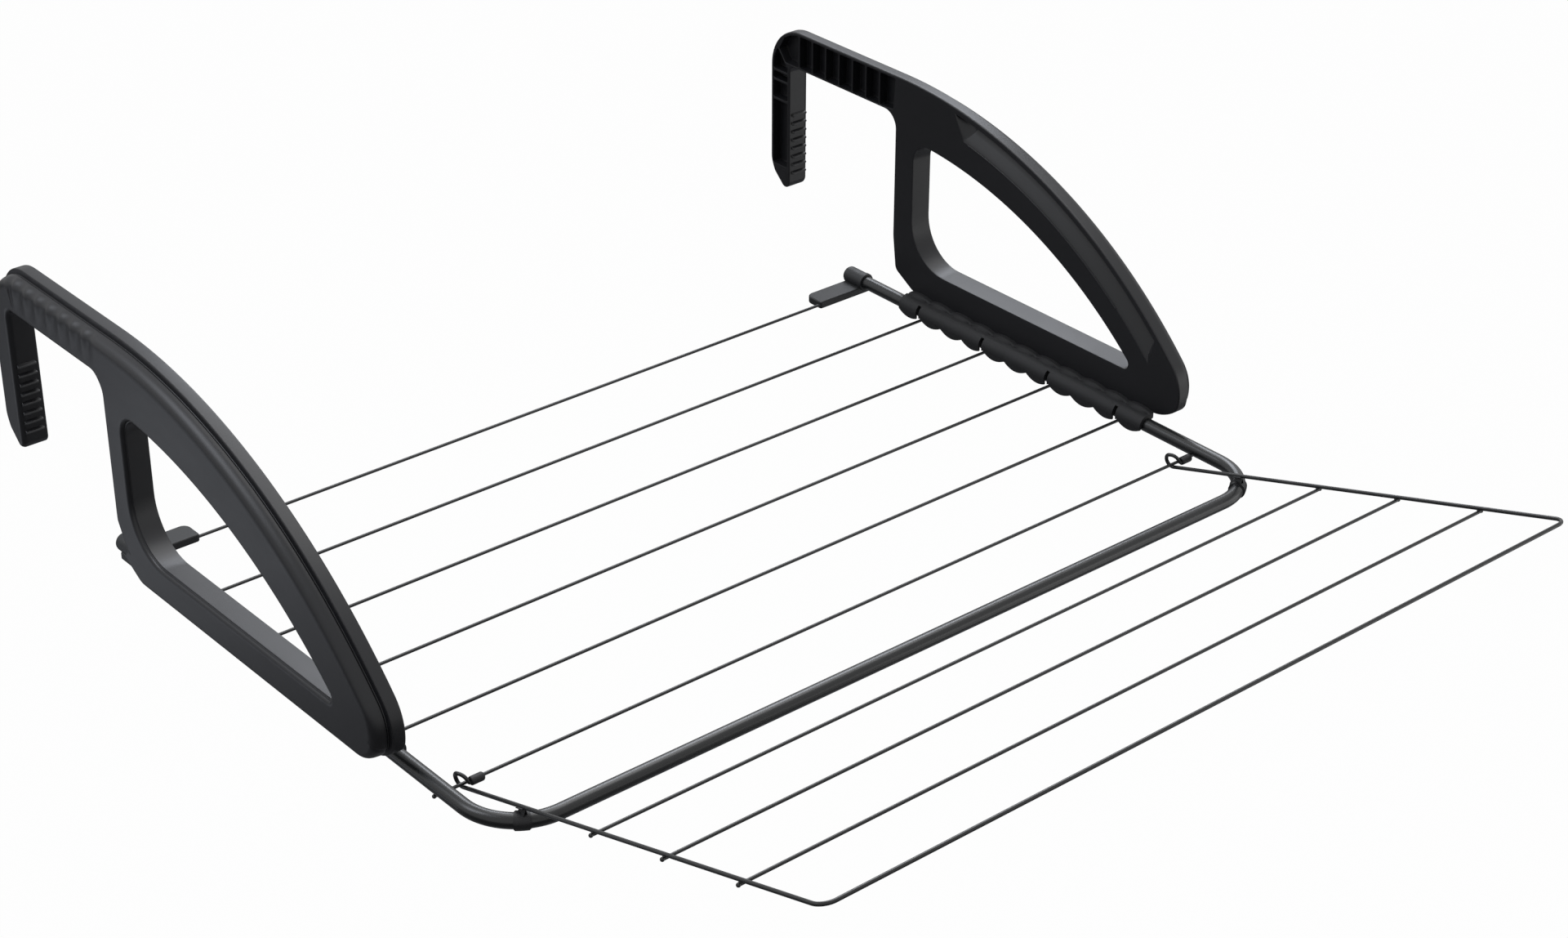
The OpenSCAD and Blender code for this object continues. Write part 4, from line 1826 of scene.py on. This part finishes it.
COOL = (0.88, 0.92, 1.0)
LAMPS = (
    Lamp("sky_panel", (0.55, 0.05, 1.6), (0.10, -0.15, 0.0), (1.4, 1.4), 13.0),
    Lamp("back_panel", (1.20, 1.05, 1.34), (0.15, -0.15, 0.05), (1.2, 0.6), 17.0, COOL),
    Lamp("left_panel", (-0.85, 0.32, 0.85), (-0.36, 0.02, 0.12), (0.8, 0.8), 0.85, COOL, 48.0),
    Lamp(
        "low_left_panel", (-0.80, 0.38, -0.31), (-0.345, -0.15, 0.08), (0.45, 0.45), 0.06, COOL,
        56.0,
    ),
    Lamp("front_panel", (1.15, -1.20, -0.30), (0.33, -0.1, 0.08), (1.1, 1.1), 3.6),
)


@dataclass
class Studio:
    """A pale floor, soft lamps and the camera."""

    eye: Place = (-1.1179, -1.6364, 0.8924)
    azimuth: float = -40.31
    elevation: float = 29.31
    roll: float = 0.31
    lens: float = 70.36
    floor_drop: float = 0.95
    floor_half: float = 14.0
    floor_colour: Colour = (0.38, 0.38, 0.39)
    floor_white: float = 0.985
    floor_gloss: float = 0.02
    sky_colour: Colour = (0.96, 0.98, 1.0)
    sky_light: float = 0.09
    sky_gloss: float = 0.7

    def build(self) -> None:
        """Builds the floor, the world, the lamps and the camera."""
        self._floor()
        self._world()
        for lamp in LAMPS:
            lamp.hang()
        self._camera()

    def _floor(self) -> None:
        """Lays a wide pale floor, far below the rack as it hangs on its rail."""
        mesh = bmesh.new()
        bmesh.ops.create_grid(mesh, x_segments=2, y_segments=2, size=self.floor_half)
        bmesh.ops.translate(mesh, vec=(0, 0, cad_box[0].z - self.floor_drop), verts=mesh.verts)
        data = bpy.data.meshes.new("floor")
        mesh.to_mesh(data)
        mesh.free()
        floor = bpy.data.objects.new("floor", data)
        bpy.context.scene.collection.objects.link(floor)
        graph = Graph.of_material("pale_floor")
        graph.feed(Base_Color=(*self.floor_colour, 1.0), Roughness=0.9)
        white = graph.node("ShaderNodeEmission", {}, {"Color": (1, 1, 1, 1), "Strength": 1.0})
        seen = graph.unlit(self.floor_white, self.floor_gloss)
        mix = graph.node(
            "ShaderNodeMixShader", {}, {0: seen, 1: graph.shader.outputs[0], 2: white.outputs[0]}
        )
        graph.put(graph.tree.nodes["Material Output"].inputs["Surface"], mix.outputs[0])
        data.materials.append(graph.owner)

    def _world(self) -> None:
        """Makes a dim even sky that the camera sees as white."""
        world = bpy.data.worlds.new("studio")
        bpy.context.scene.world = world
        graph = Graph(world)
        sky = graph.tree.nodes["Background"]
        sky.inputs["Color"].default_value = (*self.sky_colour, 1.0)
        sky.inputs["Strength"].default_value = self.sky_light
        white = graph.node("ShaderNodeBackground", {}, {"Color": (1, 1, 1, 1), "Strength": 1.0})
        seen = graph.unlit(1.0, self.sky_gloss)
        mix = graph.node(
            "ShaderNodeMixShader", {}, {0: seen, 1: sky.outputs[0], 2: white.outputs[0]}
        )
        graph.put(graph.tree.nodes["World Output"].inputs["Surface"], mix.outputs[0])

    def _camera(self) -> None:
        """Sets the camera in front of the rack, to its left and above it."""
        data = bpy.data.cameras.new("camera")
        data.lens = self.lens
        camera = bpy.data.objects.new("camera", data)
        turn = Matrix()
        for degrees, axis in (
            (self.azimuth, "Z"), (90.0 - self.elevation, "X"), (self.roll, "Z"),
        ):
            turn = turn @ Matrix.Rotation(math.radians(degrees), 4, axis)
        camera.matrix_world = Matrix.Translation(self.eye) @ turn
        bpy.context.scene.collection.objects.link(camera)
        bpy.context.scene.camera = camera


def main() -> None:
    """Builds the finishes, the pieces and the studio in order."""
    logging.basicConfig(level=logging.INFO, format="%(name)s: %(message)s")
    bpy.context.scene.view_settings.view_transform = "Standard"
    tube_coat = PowderCoat("gloss_powder_coat").material()
    wire_coat = PowderCoat(
        "satin_powder_coat", gloss=0.36, ripple=900.0, ripple_depth=0.000005
    ).material()
    bracket_plastic = MouldedPlastic("bracket_plastic").material()
    clip_plastic = MouldedPlastic(
        "clip_plastic", (0.008, 0.0084, 0.010), 0.66, grain_depth=0.000001
    ).material()
    foot_plastic = MouldedPlastic("foot_plastic", (0.020, 0.0212, 0.023), 0.52).material()
    rest_plastic = MouldedPlastic("rest_plastic", (0.018, 0.018, 0.020), 0.52).material()
    cap_plastic = MouldedPlastic("soft_cap_plastic", (0.020, 0.020, 0.022), 0.58).material()

    rack = Rack(Datum.of_frame(), tube_coat, wire_coat)
    rack.build_tube()
    rack.build_wires()
    for side in Side:
        Foot(rack, side, foot_plastic).build()
        WingRest(rack, side, rest_plastic).build()
        bracket = Bracket(rack, side, bracket_plastic)
        bracket.build()
        Clip(bracket, clip_plastic).build()
    wing = Wing(rack, wire_coat, cap_plastic)
    wing.build_frame()
    wing.build_wires()
    wing.build_caps()
    Studio().build()


if __name__ == "__main__":
    main()
